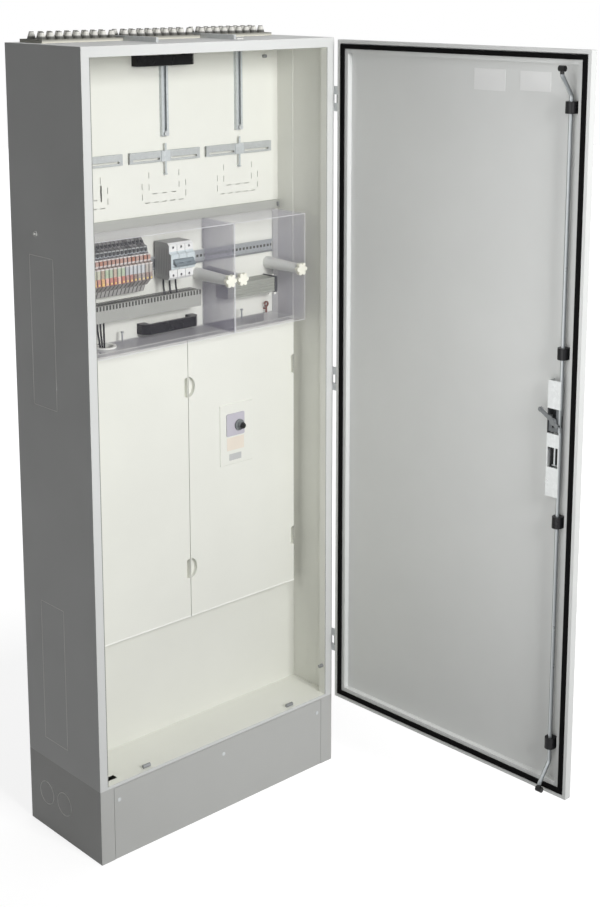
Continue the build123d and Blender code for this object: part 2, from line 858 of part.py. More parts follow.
# Slotted wiring duct: a trough with finger walls and a clip-on cover in front
duct_top = duct_bottom + duct_height
duct_y = front + duct_front
with BuildPart() as wiring_duct:
    with BuildSketch(from_side(duct_ends[0])):
        span(duct_y + duct_wall, panel_y, duct_bottom, duct_top)
        span(duct_y, panel_y - duct_wall, duct_bottom + duct_wall,
             duct_top - duct_wall, Mode.SUBTRACT)
    extrude(amount=duct_ends[1] - duct_ends[0])
    slot_count = int((duct_ends[1] - duct_ends[0] - duct_pitch) / duct_pitch)
    first_slot = breaker_wire_x[0] - duct_pitch * int((breaker_wire_x[0] - duct_ends[0]) / duct_pitch)
    with BuildSketch(facing(duct_y + duct_slot_depth)):
        for k in range(slot_count):
            x = first_slot + k * duct_pitch
            span(x - duct_slot / 2, x + duct_slot / 2, duct_bottom, duct_bottom + duct_wall)
            span(x - duct_slot / 2, x + duct_slot / 2, duct_top - duct_wall, duct_top)
    extrude(amount=duct_slot_depth, mode=Mode.SUBTRACT)
    with BuildSketch(from_side(duct_ends[0])):
        lip_y = duct_y + duct_wall + duct_cover_lip
        span(duct_y, lip_y, duct_bottom - duct_wall, duct_top + duct_wall)
        span(duct_y + duct_wall, lip_y, duct_bottom, duct_top, Mode.SUBTRACT)
    extrude(amount=duct_ends[1] - duct_ends[0])
save(wiring_duct.part, "wiring_duct")

# Right-hand terminal cover: ribbed front, rounded, with a dark end cap
with BuildPart() as trunk_cover:
    with BuildSketch(from_side(trunk_ends[0])):
        span(duct_y, panel_y, duct_bottom, duct_top)
        rib_pitch = duct_height / (trunk_ribs + 1)
        with Locations(*[(duct_y, duct_bottom + rib_pitch * (k + 1)) for k in range(trunk_ribs)]):
            Circle(1.6, mode=Mode.SUBTRACT)
    extrude(amount=trunk_ends[1] - trunk_ends[0] - trunk_cap)
save(trunk_cover.part, "trunk_cover")

with BuildPart() as trunk_end:
    with BuildSketch(from_side(trunk_ends[1] - trunk_cap)):
        span(duct_y - trunk_cap_lap, panel_y, duct_bottom - trunk_cap_lap, duct_top + trunk_cap_lap)
    extrude(amount=trunk_cap)
    cap_face = trunk_end.faces().sort_by(Axis.X)[-1]
    fillet(cap_face.edges().sort_by(Axis.Y)[:-1], trunk_cap_round)
save(trunk_end.part, "trunk_end")

# Wires: three from the breaker into the duct, three from the duct down through the grommet
with BuildPart() as wires:
    for x in breaker_wire_x:
        y = front + breaker_wire_depth
        start = (x, y, breaker_bottom)
        with BuildLine():
            FilletPolyline(start, (x, y, duct_top + 22), (x, y - wire_shift, duct_top - 4),
                           (x, y - wire_shift, duct_bottom + 10), radius=wire_bend)
        with BuildSketch(Plane(origin=start, z_dir=(0, 0, -1))):
            RegularPolygon(wire_radius, wire_sides)
        sweep()
    for k, x in enumerate(supply_wire_x):
        y = front + supply_wire_depth
        lean = wire_shift * (1 - k) * 0.6
        start = (x, y, duct_bottom + 12)
        with BuildLine():
            FilletPolyline(start, (x, y, duct_bottom - 24),
                           (x + lean, y - wire_shift, terminal_panel_bottom + 9),
                           (x + lean, y - wire_shift, supply_wire_end), radius=2 * wire_bend)
        with BuildSketch(Plane(origin=start, z_dir=(0, 0, -1))):
            RegularPolygon(wire_radius, wire_sides)
        sweep()
save(wires.part, "wires")

# Clear covers: open at the back, held by knobs on posts
grommet_y = front + grommet_depth
cover_spans = ((-inner_half, cover_split - cover_gap / 2), (cover_split + cover_gap / 2, inner_half))
post_places = [x for a, b in cover_spans for x in (a + post_inset, b - post_inset)]
for (x0, x1), name in zip(cover_spans, ("cover_left", "cover_right")):
    with BuildPart() as clear_cover:
        with BuildSketch(facing(panel_y)):
            span(x0, x1, terminal_panel_bottom, terminal_panel_top)
        extrude(amount=panel_y - cover_y)
        with BuildSketch(facing(panel_y)):
            span(x0 + cover_sheet, x1 - cover_sheet,
                 terminal_panel_bottom + cover_sheet, terminal_panel_top - cover_sheet)
        extrude(amount=panel_y - cover_y - cover_sheet, mode=Mode.SUBTRACT)
        with BuildSketch(facing(cover_y + cover_sheet)):
            with Locations((x0 + post_inset, post_height), (x1 - post_inset, post_height)):
                Circle(knob_shank_radius + knob_clearance)
        extrude(amount=cover_sheet, mode=Mode.SUBTRACT)
        with BuildSketch(facing(panel_y)):
            for x in (x0, x1 - cover_sheet):
                if abs(x + cover_sheet / 2) < din_half:
                    span(x, x + cover_sheet, din_height - din_width / 2 - din_notch_gap,
                         din_height + din_width / 2 + din_notch_gap)
        extrude(amount=din_depth + din_notch_gap, mode=Mode.SUBTRACT)
        if x0 < grommet_x < x1:
            with BuildSketch(Plane.XY.offset(terminal_panel_bottom)):
                with Locations((grommet_x, grommet_y)):
                    Circle(grommet_radius - grommet_rim)
            extrude(amount=cover_sheet, mode=Mode.SUBTRACT)
    save(clear_cover.part, name)

with BuildPart() as cable_grommet:
    groove_z = terminal_panel_bottom + cover_sheet / 2
    flange = (grommet_height - cover_sheet) / 2
    with BuildSketch(Plane.XY.offset(groove_z - grommet_height / 2)):
        with Locations((grommet_x, grommet_y)):
            Circle(grommet_radius)
            Circle(grommet_bore, mode=Mode.SUBTRACT)
    extrude(amount=flange)
    with BuildSketch(Plane.XY.offset(terminal_panel_bottom)):
        with Locations((grommet_x, grommet_y)):
            Circle(grommet_radius - grommet_rim)
            Circle(grommet_bore, mode=Mode.SUBTRACT)
    extrude(amount=cover_sheet)
    with BuildSketch(Plane.XY.offset(terminal_panel_bottom + cover_sheet)):
        with Locations((grommet_x, grommet_y)):
            Circle(grommet_radius)
            Circle(grommet_bore, mode=Mode.SUBTRACT)
    extrude(amount=flange)
save(cable_grommet.part, "cable_grommet")

post_front_y = cover_y + cover_sheet
with BuildPart() as cover_posts:
    for x in post_places:
        with BuildSketch(facing(panel_y)):
            with Locations((x, post_height)):
                Circle(post_radius_back)
        with BuildSketch(facing(post_front_y)):
            with Locations((x, post_height)):
                Circle(post_radius_front)
        loft()
        with BuildSketch(facing(post_front_y)):
            with Locations((x, post_height)):
                Circle(knob_shank_radius + shank_clearance)
        extrude(amount=-knob_shank_length, mode=Mode.SUBTRACT)
save(cover_posts.part, "cover_posts")

knob_back_y = cover_y - knob_clearance
for k, x in enumerate(post_places):
    with BuildPart() as thumb_knob:
        with BuildSketch(facing(knob_back_y)):
            with Locations((x, post_height)):
                Circle(knob_radius - knob_lobe_radius)
                with PolarLocations(knob_radius - knob_lobe_radius, knob_lobes):
                    Circle(knob_lobe_radius)
        extrude(amount=knob_thickness)
        with BuildSketch(facing(knob_back_y)):
            with Locations((x, post_height)):
                Circle(knob_shank_radius)
        extrude(amount=-(knob_clearance + cover_sheet + knob_shank_length - 1.0))
    save(thumb_knob.part, f"thumb_knob_{k + 1}")

# Lower compartment: back plate and two lift-out cover plates with dished finger grips
with BuildPart() as back_plate:
    with BuildSketch(facing(back_plate_y + sheet)):
        span(left + sheet, right - sheet, floor_top, back_plate_top)
    extrude(amount=sheet)
save(back_plate.part, "back_plate")

for x0, x1, name in ((-inner_half, -cover_plate_gap / 2, "cover_plate_left"),
                     (cover_plate_gap / 2, inner_half, "cover_plate_right")):
    with BuildPart() as cover_plate:
        with BuildSketch(facing(back_plate_y)):
            span(x0, x1, cover_plate_bottom, cover_plate_top)
        extrude(amount=back_plate_y - cover_plate_y)
        with BuildSketch(facing(back_plate_y)):
            span(x0 + sheet, x1 - sheet, cover_plate_bottom + sheet, cover_plate_top - sheet)
        extrude(amount=back_plate_y - cover_plate_y - sheet, mode=Mode.SUBTRACT)
        for wall, mode in ((sheet, Mode.ADD), (0.0, Mode.SUBTRACT)):
            with BuildSketch(facing(cover_plate_y + notch_depth + wall)):
                for z in notch_heights:
                    with Locations((x0 + sheet, z), (x1 - sheet, z)):
                        Ellipse(notch_reach + wall, notch_height / 2 + wall)
                span(x0 - 2 * notch_reach, x0 + sheet, cover_plate_bottom, cover_plate_top,
                     Mode.SUBTRACT)
                span(x1 - sheet, x1 + 2 * notch_reach, cover_plate_bottom, cover_plate_top,
                     Mode.SUBTRACT)
            extrude(amount=notch_depth + wall, mode=mode)
    save(cover_plate.part, name)

# Rotary switch
with BuildPart() as switch_plate:
    with BuildSketch(facing(cover_plate_y)):
        span(switch_left, switch_left + switch_width, switch_bottom, switch_bottom + switch_height)
    extrude(amount=switch_sheet)
    rim = switch_plate.faces().sort_by(Axis.Y)[0]
    chamfer(rim.edges(), 1.5)
save(switch_plate.part, "switch_plate")

switch_y = cover_plate_y - switch_sheet
with BuildPart() as switch_escutcheon:
    with BuildSketch(facing(switch_y)):
        with Locations((escutcheon_x, escutcheon_z)):
            RectangleRounded(escutcheon_size, escutcheon_size, 4)
        with Locations((dial_x, dial_z)):
            Circle(knob_shank_radius + dial_clearance, mode=Mode.SUBTRACT)
    extrude(amount=escutcheon_thickness)
save(switch_escutcheon.part, "switch_escutcheon")

dial_y = switch_y - escutcheon_thickness - dial_clearance
with BuildPart() as switch_knob:
    with BuildSketch(facing(dial_y)):
        with Locations((dial_x, dial_z)):
            Circle(dial_radius)
    extrude(amount=dial_flange)
    with BuildSketch(facing(dial_y - dial_flange)):
        with Locations((dial_x, dial_z)):
            Circle(dial_barrel_radius)
    extrude(amount=dial_barrel)
    with BuildSketch(facing(dial_y - dial_flange - dial_barrel)):
        with Locations((dial_x, dial_z)):
            Circle(dial_tip_radius)
    extrude(amount=dial_tip)
    with BuildSketch(facing(dial_y)):
        with Locations((dial_x, dial_z)):
            Circle(knob_shank_radius)
    extrude(amount=-escutcheon_thickness)
save(switch_knob.part, "switch_knob")

# Small zinc fittings: studs on the floor's front edge, the frame and the panels, two pins on
# the floor of the covers, and the open eye that takes a wire seal
with BuildPart() as small_fittings:
    for x, stud_depth in stud_places:
        with BuildSketch(from_side(x - stud_length / 2)):
            with Locations((front + stud_depth, opening_bottom + stud_radius)):
                Circle(stud_radius)
        extrude(amount=stud_length)
    with BuildSketch(from_side(opening_x)):
        with Locations((front + frame_return / 2, frame_stud_height)):
            Circle(stud_radius)
    extrude(amount=-frame_stud_length)
    with BuildSketch(facing(panel_y)):
        with Locations((inner_half - panel_stud_inset, meter_panel_top - panel_stud_drop)):
            Circle(stud_radius)
    extrude(amount=panel_stud_length)
    with BuildSketch(facing(panel_y - cross_rail_depth)):
        with Locations((right - rail_slot_inset, meter_panel_bottom - cross_rail_height / 2)):
            SlotCenterToCenter(8, 5, rotation=90)
    extrude(amount=rail_slot_boss)
    for x in pin_x:
        with BuildSketch(Plane.XY.offset(terminal_panel_bottom + cover_sheet)):
            with Locations((x, front + pin_depth)):
                Circle(pin_radius)
        extrude(amount=pin_length)
        with BuildSketch(Plane.XY.offset(terminal_panel_bottom + cover_sheet + pin_length)):
            with Locations((x, front + pin_depth)):
                Circle(pin_radius * 1.8)
        extrude(amount=pin_head)
    with BuildSketch(facing(panel_y - eye_standoff)):
        with Locations((eye_x, eye_height)):
            Circle(eye_radius)
            Circle(eye_radius - 2 * eye_wire, mode=Mode.SUBTRACT)
        span(eye_x - eye_wire, eye_x + eye_wire, eye_height - eye_stem, eye_height - eye_radius + 1)
        with Locations((eye_x - eye_radius, eye_height - 3)):
            Rectangle(3 * eye_wire, 3 * eye_wire, mode=Mode.SUBTRACT)
    extrude(amount=2 * eye_wire)
    with BuildSketch(facing(panel_y)):
        with Locations((eye_x, eye_height - eye_radius - 3 * eye_wire)):
            Circle(eye_wire)
    extrude(amount=eye_standoff)
save(small_fittings.part, "small_fittings")

# Door. Its plane stands on the hinge axis: x towards the free edge, y up, z into the cabinet
swing = radians(door_angle)
hinge_point = (hinge_x, front - hinge_reach, 0)
door_x = (-cos(swing), -sin(swing), 0)
door_in = (-sin(swing), cos(swing), 0)
door_plane = Plane(origin=hinge_point, x_dir=door_x, z_dir=door_in)
door_inner = door_thickness / 2
door_outer = -door_thickness / 2
door_skin = door_outer + door_sheet
door_end = door_edge + door_length

with BuildPart() as door_panel:
    with BuildSketch(door_plane.offset(door_outer)):
        span(door_edge, door_end, door_bottom, door_top)
    extrude(amount=door_thickness)
    with BuildSketch(door_plane.offset(door_skin)):
        span(door_edge + door_sheet, door_end - door_sheet,
             door_bottom + door_sheet, door_top - door_sheet)
    extrude(amount=door_thickness - 2 * door_sheet, mode=Mode.SUBTRACT)
    with BuildSketch(door_plane.offset(door_inner - door_sheet)):
        span(door_edge + door_lip, door_end - door_lip, door_bottom + door_lip, door_top - door_lip)
    extrude(amount=door_sheet, mode=Mode.SUBTRACT)
    with BuildSketch(door_plane.offset(door_outer)):
        with Locations((lock_x, cam_height)):
            Circle(spindle_radius + 1.0)
    extrude(amount=door_sheet, mode=Mode.SUBTRACT)
save(door_panel.part, "door_panel")

stiffener_top = door_skin + stiffener_height
with BuildPart() as door_stiffener:
    outer = stiffener_inset
    inner = stiffener_inset + stiffener_width
    with BuildSketch(door_plane.offset(door_skin)):
        span(door_edge + outer, door_end - outer, door_bottom + outer, door_top - outer)
        span(door_edge + inner, door_end - inner, door_bottom + inner, door_top - inner,
             Mode.SUBTRACT)
    extrude(amount=stiffener_height)
    with BuildSketch(door_plane.offset(door_skin)):
        a = outer + door_sheet
        b = inner - door_sheet
        span(door_edge + a, door_end - a, door_bottom + a, door_top - a)
        span(door_edge + b, door_end - b, door_bottom + b, door_top - b, Mode.SUBTRACT)
    extrude(amount=stiffener_height - door_sheet, mode=Mode.SUBTRACT)
save(door_stiffener.part, "door_stiffener")

gasket_top = hinge_reach - gasket_gap
with BuildPart() as door_gasket:
    a = gasket_inset
    b = gasket_inset + gasket_width
    with BuildSketch(door_plane.offset(stiffener_top)):
        span(door_edge + a, door_end - a, door_bottom + a, door_top - a)
        span(door_edge + b, door_end - b, door_bottom + b, door_top - b, Mode.SUBTRACT)
    extrude(amount=gasket_top - stiffener_top)
save(door_gasket.part, "door_gasket")

# Hinges: a frame leaf with two knuckles and the pin, and a door leaf with the middle knuckle
third = hinge_length / 3
with BuildPart() as frame_leaves:
    for z in hinge_heights:
        with BuildSketch(from_side(right)):
            span(front - hinge_reach + knuckle_radius, front + leaf_width,
                 z - leaf_length / 2, z + leaf_length / 2)
            span(front - hinge_reach + knuckle_radius - 1, front, z - third / 2 - knuckle_gap,
                 z + third / 2 + knuckle_gap, Mode.SUBTRACT)
        extrude(amount=leaf_sheet)
        for a, b in ((z - hinge_length / 2, z - third / 2 - knuckle_gap),
                     (z + third / 2 + knuckle_gap, z + hinge_length / 2)):
            with BuildSketch(Plane.XY.offset(a)):
                with Locations((hinge_x, front - hinge_reach)):
                    Circle(knuckle_radius)
                span(right, right + leaf_sheet, front - hinge_reach, front)
                with Locations((hinge_x, front - hinge_reach)):
                    Circle(pin_hinge_radius, mode=Mode.SUBTRACT)
            extrude(amount=b - a)
        with BuildSketch(Plane.XY.offset(z - hinge_length / 2)):
            with Locations((hinge_x, front - hinge_reach)):
                Circle(pin_hinge_radius)
        extrude(amount=hinge_length)
save(frame_leaves.part, "frame_hinges")

with BuildPart() as door_leaves:
    for z in hinge_heights:
        with BuildSketch(Plane(origin=(hinge_x, front - hinge_reach, z - third / 2),
                               x_dir=door_x, z_dir=(0, 0, 1))):
            Circle(knuckle_radius)
            span(0, door_edge, -leaf_sheet / 2, leaf_sheet / 2)
            span(door_edge - leaf_sheet, door_edge, -door_inner, door_inner)
            Circle(pin_hinge_radius + pin_clearance, mode=Mode.SUBTRACT)
        extrude(amount=third)
save(door_leaves.part, "door_hinges")

lock_bottom = cam_height - lock_below
lock_top = cam_height + lock_above
window_heights = (cam_height - window_below - window_height, cam_height - window_below)
case_heights = (cam_height - case_half, cam_height + case_half)

# Lock: an angled cover strip over the rods, with a window, and an open case whose boss carries
# the cam. Two pins under the cam run in slotted plates on the rod ends, on opposite sides of the
# spindle, so that a quarter turn drives the rods apart
lock_left = lock_x - lock_width / 2
lock_right = lock_x + lock_width / 2
rod_bore = rod_radius + guide_clearance
lock_rise = lock_level - door_skin
with BuildPart() as lock_cover:
    with BuildSketch(door_plane.offset(lock_level - lock_sheet)):
        span(lock_left, lock_right, lock_bottom, lock_top)
        span(lock_left + 2 * lock_sheet, lock_right - 2 * lock_sheet,
             window_heights[0], window_heights[1], Mode.SUBTRACT)
        span(lock_left, lock_right, case_heights[0], case_heights[1], Mode.SUBTRACT)
    extrude(amount=lock_sheet)
    with BuildSketch(door_plane.offset(door_skin)):
        span(lock_left, lock_left + lock_sheet, lock_bottom, case_heights[0])
        span(lock_left, lock_left + lock_sheet, case_heights[1], lock_top)
    extrude(amount=lock_rise)
save(lock_cover.part, "lock_cover")

with BuildPart() as lock_case:
    with BuildSketch(door_plane.offset(door_skin)):
        span(lock_left, rod_x - rod_bore, case_heights[0], case_heights[1])
    extrude(amount=case_floor)
    with BuildSketch(door_plane.offset(door_skin)):
        span(lock_left, lock_left + lock_sheet, case_heights[0], case_heights[1])
    extrude(amount=lock_rise)
    with BuildSketch(door_plane.offset(door_skin)):
        with Locations((lock_x, cam_height)):
            Circle(boss_radius)
    extrude(amount=link_level - link_gap - door_skin)
    with BuildSketch(door_plane.offset(door_skin)):
        with Locations((lock_x, cam_height)):
            Circle(spindle_radius + spindle_clearance)
    extrude(amount=lock_rise, mode=Mode.SUBTRACT)
save(lock_case.part, "lock_case")

cam_level = lock_level + cam_gap
pin_orbit = rod_travel / (2 * sin(radians(-pin_start)))
with BuildPart() as lock_cam:
    with BuildSketch(door_plane.offset(cam_level)):
        with Locations((lock_x, cam_height)):
            Circle(cam_radius)
            with PolarLocations(pin_orbit / 2, 2, start_angle=pin_start):
                Rectangle(pin_orbit, 2 * cam_ear)
            with PolarLocations(pin_orbit, 2, start_angle=pin_start):
                Circle(cam_ear)
            with PolarLocations(cam_arm / 2, 1, start_angle=cam_angle):
                Rectangle(cam_arm, cam_arm_width)
            with PolarLocations(cam_arm, 1, start_angle=cam_angle):
                Circle(cam_arm_width * 0.7)
    extrude(amount=cam_thickness)
    with BuildSketch(door_plane.offset(cam_level + cam_thickness)):
        with Locations((lock_x, cam_height)):
            Circle(cam_radius * 0.7)
            with PolarLocations(cam_arm, 1, start_angle=cam_angle):
                Circle(cam_arm_width * 0.4)
    extrude(amount=2.5)
    with BuildSketch(door_plane.offset(cam_level)):
        with Locations((lock_x, cam_height)):
            with PolarLocations(pin_orbit, 2, start_angle=pin_start):
                Circle(link_pin_radius)
    extrude(amount=link_level - link_gap - cam_level)
    with BuildSketch(door_plane.offset(door_outer - lever_standoff)):
        with Locations((lock_x, cam_height)):
            Circle(spindle_radius)
    extrude(amount=cam_level - door_outer + lever_standoff)
save(lock_cam.part, "lock_cam")

# Outside handle: a dish on the skin and a lever on the same spindle as the cam
with BuildPart() as handle_dish:
    with BuildSketch(door_plane.offset(door_outer - dish_reach)):
        with Locations((lock_x, cam_height - dish_length / 2 + dish_width / 2)):
            SlotOverall(dish_length, dish_width, rotation=90)
        with Locations((lock_x, cam_height)):
            Circle(spindle_radius + 0.5, mode=Mode.SUBTRACT)
    extrude(amount=dish_reach)
save(handle_dish.part, "handle_dish")

with BuildPart() as door_handle:
    with BuildSketch(door_plane.offset(door_outer - lever_standoff)):
        with Locations((lock_x - lever_length / 2 + lever_width / 2, cam_height)):
            SlotOverall(lever_length, lever_width)
    extrude(amount=-lever_thickness)
    fillet(door_handle.faces().sort_by(Axis.X)[-1].edges(), 3.0)
save(door_handle.part, "door_handle")


def rod(straight_end, roller_height, link_spans, slot_span, name):
    """Round rod with the cam's slotted plate at one end, cranked inwards to a roller at the other."""
    direction = 1 if roller_height > straight_end else -1
    bend = roller_height - direction * crank_length
    with BuildPart() as lock_rod:
        with BuildLine():
            FilletPolyline(
                door_plane.from_local_coords(Vector(rod_x, straight_end, rod_level)),
                door_plane.from_local_coords(Vector(rod_x, bend, rod_level)),
                door_plane.from_local_coords(
                    Vector(rod_x, roller_height - direction * roller_radius * 2.2, rod_crank)),
                door_plane.from_local_coords(Vector(rod_x, roller_height, rod_crank)),
                radius=12)
        start = door_plane.from_local_coords(Vector(rod_x, straight_end, rod_level))
        with BuildSketch(Plane(origin=start, z_dir=(0, 0, direction))):
            Circle(rod_radius)
        sweep()
        roller_plane = Plane(
            origin=door_plane.from_local_coords(
                Vector(rod_x - roller_width / 2, roller_height, rod_crank)),
            x_dir=door_in, z_dir=door_x)
        with BuildSketch(roller_plane):
            Circle(roller_radius)
        extrude(amount=roller_width)
        with BuildSketch(door_plane.offset(link_level)):
            for x0, x1, z0, z1 in link_spans:
                span(x0, x1, z0, z1)
            span(*slot_span, Mode.SUBTRACT)
        extrude(amount=link_sheet)
    save(lock_rod.part, name)


rod_gap = rod_travel + 12.0
pin_side = pin_orbit * cos(radians(pin_start))
pin_drop = rod_travel / 2
slot_half = link_pin_radius + link_gap
upper_end = cam_height + rod_gap / 2
lower_end = cam_height - rod_gap / 2
plate_bottom = cam_height - pin_drop - slot_half - link_edge
leg_left = lock_left + lock_sheet + link_gap
rod(upper_end, roller_top,
    ((lock_x + spindle_radius + link_gap, rod_x + rod_radius,
      plate_bottom, upper_end + link_weld),),
    (lock_x + pin_side - slot_half, lock_x + pin_orbit + slot_half,
     cam_height - pin_drop - slot_half, cam_height - pin_drop + slot_half),
    "upper_rod")
rod(lower_end, roller_bottom,
    ((leg_left, rod_x + rod_radius, lower_end - link_bar, plate_bottom - 2 * link_gap),
     (leg_left, lock_x - spindle_radius - link_gap,
      lower_end - link_bar, cam_height + pin_drop + slot_half + link_edge)),
    (lock_left, lock_x - pin_side + slot_half,
     cam_height + pin_drop - slot_half, cam_height + pin_drop + slot_half),
    "lower_rod")

# Rod guides: black blocks on the door with a bore for the rod
with BuildPart() as rod_guides:
    for z in guide_heights:
        foot = door_plane.from_local_coords(Vector(rod_x, z - guide_height / 2, rod_level))
        with BuildSketch(Plane(origin=foot, x_dir=door_x, z_dir=(0, 0, 1))):
            Circle(guide_width / 2)
            span(-guide_width / 2, guide_width / 2, 0, rod_level - door_skin)
            Circle(rod_bore, mode=Mode.SUBTRACT)
        extrude(amount=guide_height)
save(rod_guides.part, "rod_guides")
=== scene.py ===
import bpy
import bmesh
import math
from mathutils import Matrix, Vector


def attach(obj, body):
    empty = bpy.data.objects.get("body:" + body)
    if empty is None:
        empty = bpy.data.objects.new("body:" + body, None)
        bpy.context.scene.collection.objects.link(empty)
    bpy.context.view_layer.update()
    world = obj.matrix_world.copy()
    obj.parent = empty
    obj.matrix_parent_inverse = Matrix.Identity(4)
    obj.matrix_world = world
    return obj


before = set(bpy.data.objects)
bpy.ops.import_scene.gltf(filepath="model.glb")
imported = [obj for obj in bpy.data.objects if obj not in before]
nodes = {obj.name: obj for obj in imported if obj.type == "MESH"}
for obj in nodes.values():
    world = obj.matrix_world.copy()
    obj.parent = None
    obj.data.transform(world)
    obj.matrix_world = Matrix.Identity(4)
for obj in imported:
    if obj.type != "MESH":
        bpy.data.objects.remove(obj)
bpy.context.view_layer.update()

MM = 0.001

# Sizes shared with the solids, in millimetres
DOOR_ANGLE = math.radians(92.0)
HINGE = (404.0, -172.0)
DOOR_SKIN = -8.5
SWITCH_FACE = 33.0
PLATE_FACE = 30.0
FRAME_FACE = 160.0
COVER_FACE = 75.0
COVER_EDGES = ((-375, 124.5), (125.5, 375))
COVER_LOW, COVER_HIGH = 1283, 1577
OPENING_LOW, OPENING_HIGH = 207, 2025
PLATE_LOW, PLATE_HIGH = 511.6, 1276
KNOCKOUTS = ((259, 640), (1159, 1540))
KNOCKOUT_Y = (-20, 83)
PLINTH_HOLES_Y = (4, 84)
PLINTH_HOLES_Z = 100
SCORE_WIDTH = 2.0
BLOCK_RIGHT = -89.0
BLOCK_PITCH = 12.4
BLOCK_COUNT = 20
BREAKER_POLES = (-27.0, -1.0, 25.0)
BREAKER_SCREWS = (1449.0, 1522.0)
ROOF = 2050.0
SIDE = 400.0


# Camera: the photograph's viewing angle, from the front left at a little over head height
def add_camera():
    yaw, pitch = -0.7437, 0.1918
    place = Vector((-2.419, -3.0923, 2.2131))
    look = Vector((-math.sin(yaw) * math.cos(pitch), math.cos(yaw) * math.cos(pitch),
                   -math.sin(pitch)))
    side = Vector((math.cos(yaw), math.sin(yaw), 0))
    up = side.cross(look)
    data = bpy.data.cameras.new("camera")
    cam = bpy.data.objects.new("camera", data)
    bpy.context.scene.collection.objects.link(cam)
    cam.matrix_world = Matrix((
        (side.x, up.x, -look.x, place.x),
        (side.y, up.y, -look.y, place.y),
        (side.z, up.z, -look.z, place.z),
        (0, 0, 0, 1)))
    data.sensor_fit = "AUTO"
    data.sensor_width = 36.0
    data.lens = 1536.3 / 907 * 36.0
    data.shift_y = -0.20
    data.clip_end = 60
    bpy.context.scene.camera = cam


add_camera()


# Materials
class Mat:
    """A node material with a Principled shader and object coordinates in metres."""

    def __init__(self, name, rough=0.5, metal=0.0, spec=0.5):
        self.mat = bpy.data.materials.new(name)
        self.mat.use_nodes = True
        self.tree = self.mat.node_tree
        self.tree.nodes.clear()
        self.out = self.node("ShaderNodeOutputMaterial")
        self.bsdf = self.node("ShaderNodeBsdfPrincipled")
        self.link(self.bsdf.outputs[0], self.out.inputs[0])
        self.bsdf.inputs["Roughness"].default_value = rough
        self.bsdf.inputs["Metallic"].default_value = metal
        self.bsdf.inputs["Specular IOR Level"].default_value = spec
        self.source = self.node("ShaderNodeTexCoord")
        self.coord = self.source.outputs["Object"]

    def node(self, kind, **props):
        n = self.tree.nodes.new(kind)
        for k, v in props.items():
            setattr(n, k, v)
        return n

    def link(self, a, b):
        self.tree.links.new(a, b)

    def scaled(self, sx, sy, sz):
        n = self.node("ShaderNodeMapping")
        n.inputs["Scale"].default_value = (sx, sy, sz)
        self.link(self.coord, n.inputs["Vector"])
        return n.outputs[0]

    def noise(self, scale, detail=2.0, rough=0.5, vector=None, name="Fac"):
        n = self.node("ShaderNodeTexNoise")
        n.inputs["Scale"].default_value = scale
        n.inputs["Detail"].default_value = detail
        n.inputs["Roughness"].default_value = rough
        self.link(vector or self.coord, n.inputs["Vector"])
        return n.outputs[name]

    def ramp(self, fac, stops, interpolation="LINEAR"):
        n = self.node("ShaderNodeValToRGB")
        n.color_ramp.interpolation = interpolation
        e = n.color_ramp.elements
        while len(e) < len(stops):
            e.new(0.5)
        for el, (p, c) in zip(e, stops):
            el.position = p
            el.color = tuple(c) + (1.0,)
        self.link(fac, n.inputs[0])
        return n.outputs[0]

    def math(self, op, a, b=None, clamp=False):
        n = self.node("ShaderNodeMath", operation=op, use_clamp=clamp)
        for i, v in enumerate((a, b)):
            if v is None:
                continue
            if isinstance(v, (int, float)):
                n.inputs[i].default_value = v
            else:
                self.link(v, n.inputs[i])
        return n.outputs[0]

    def mix(self, fac, a, b):
        n = self.node("ShaderNodeMix", data_type="RGBA")
        for i, v in ((0, fac), (6, a), (7, b)):
            if isinstance(v, (int, float)):
                n.inputs[i].default_value = v
            elif isinstance(v, tuple):
                n.inputs[i].default_value = v + (1.0,)
            else:
                self.link(v, n.inputs[i])
        return n.outputs[2]

    def split(self, vector=None):
        n = self.node("ShaderNodeSeparateXYZ")
        self.link(vector or self.coord, n.inputs[0])
        return n.outputs

    def between(self, value, low, high):
        """1 where low < value < high, in metres."""
        return self.math("MULTIPLY", self.math("GREATER_THAN", value, low),
                         self.math("LESS_THAN", value, high))

    def saw(self, value, pitch):
        """0 in the middle of each pitch, 0.5 at its ends."""
        part = self.math("FRACT", self.math("DIVIDE", value, pitch))
        return self.math("ABSOLUTE", self.math("SUBTRACT", part, 0.5))

    def bump(self, height, strength, distance=0.001):
        n = self.node("ShaderNodeBump")
        n.inputs["Strength"].default_value = strength
        n.inputs["Distance"].default_value = distance
        self.link(height, n.inputs["Height"])
        self.link(n.outputs[0], self.bsdf.inputs["Normal"])

    def color(self, value):
        if isinstance(value, tuple):
            self.bsdf.inputs["Base Color"].default_value = value + (1.0,)
        else:
            self.link(value, self.bsdf.inputs["Base Color"])

    def gloss(self, rough, spread, scale=22.0):
        """Roughness that wanders about its mean."""
        dull = self.noise(scale, 4.0, 0.6)
        self.link(self.ramp(dull, [(0.3, (rough - spread,) * 3), (0.7, (rough + spread,) * 3)]),
                  self.bsdf.inputs["Roughness"])


def tint(rgb, k):
    return tuple(min(1.0, c * k) for c in rgb)


def paint(name, rgb, rough=0.42, peel=420.0, peel_strength=0.10, cloud=0.03):
    """Powder coat: a fine orange peel, a faint cloudiness and a little variation in gloss."""
    m = Mat(name, rough)
    cloudy = m.noise(3.1, 3.0, 0.6)
    m.color(m.ramp(cloudy, [(0.3, tint(rgb, 1 - cloud)), (0.7, tint(rgb, 1 + cloud * 0.5))]))
    m.gloss(rough, 0.045, 7.3)
    m.bump(m.noise(peel, 2.0, 0.4), peel_strength, 0.0004)
    return m.mat


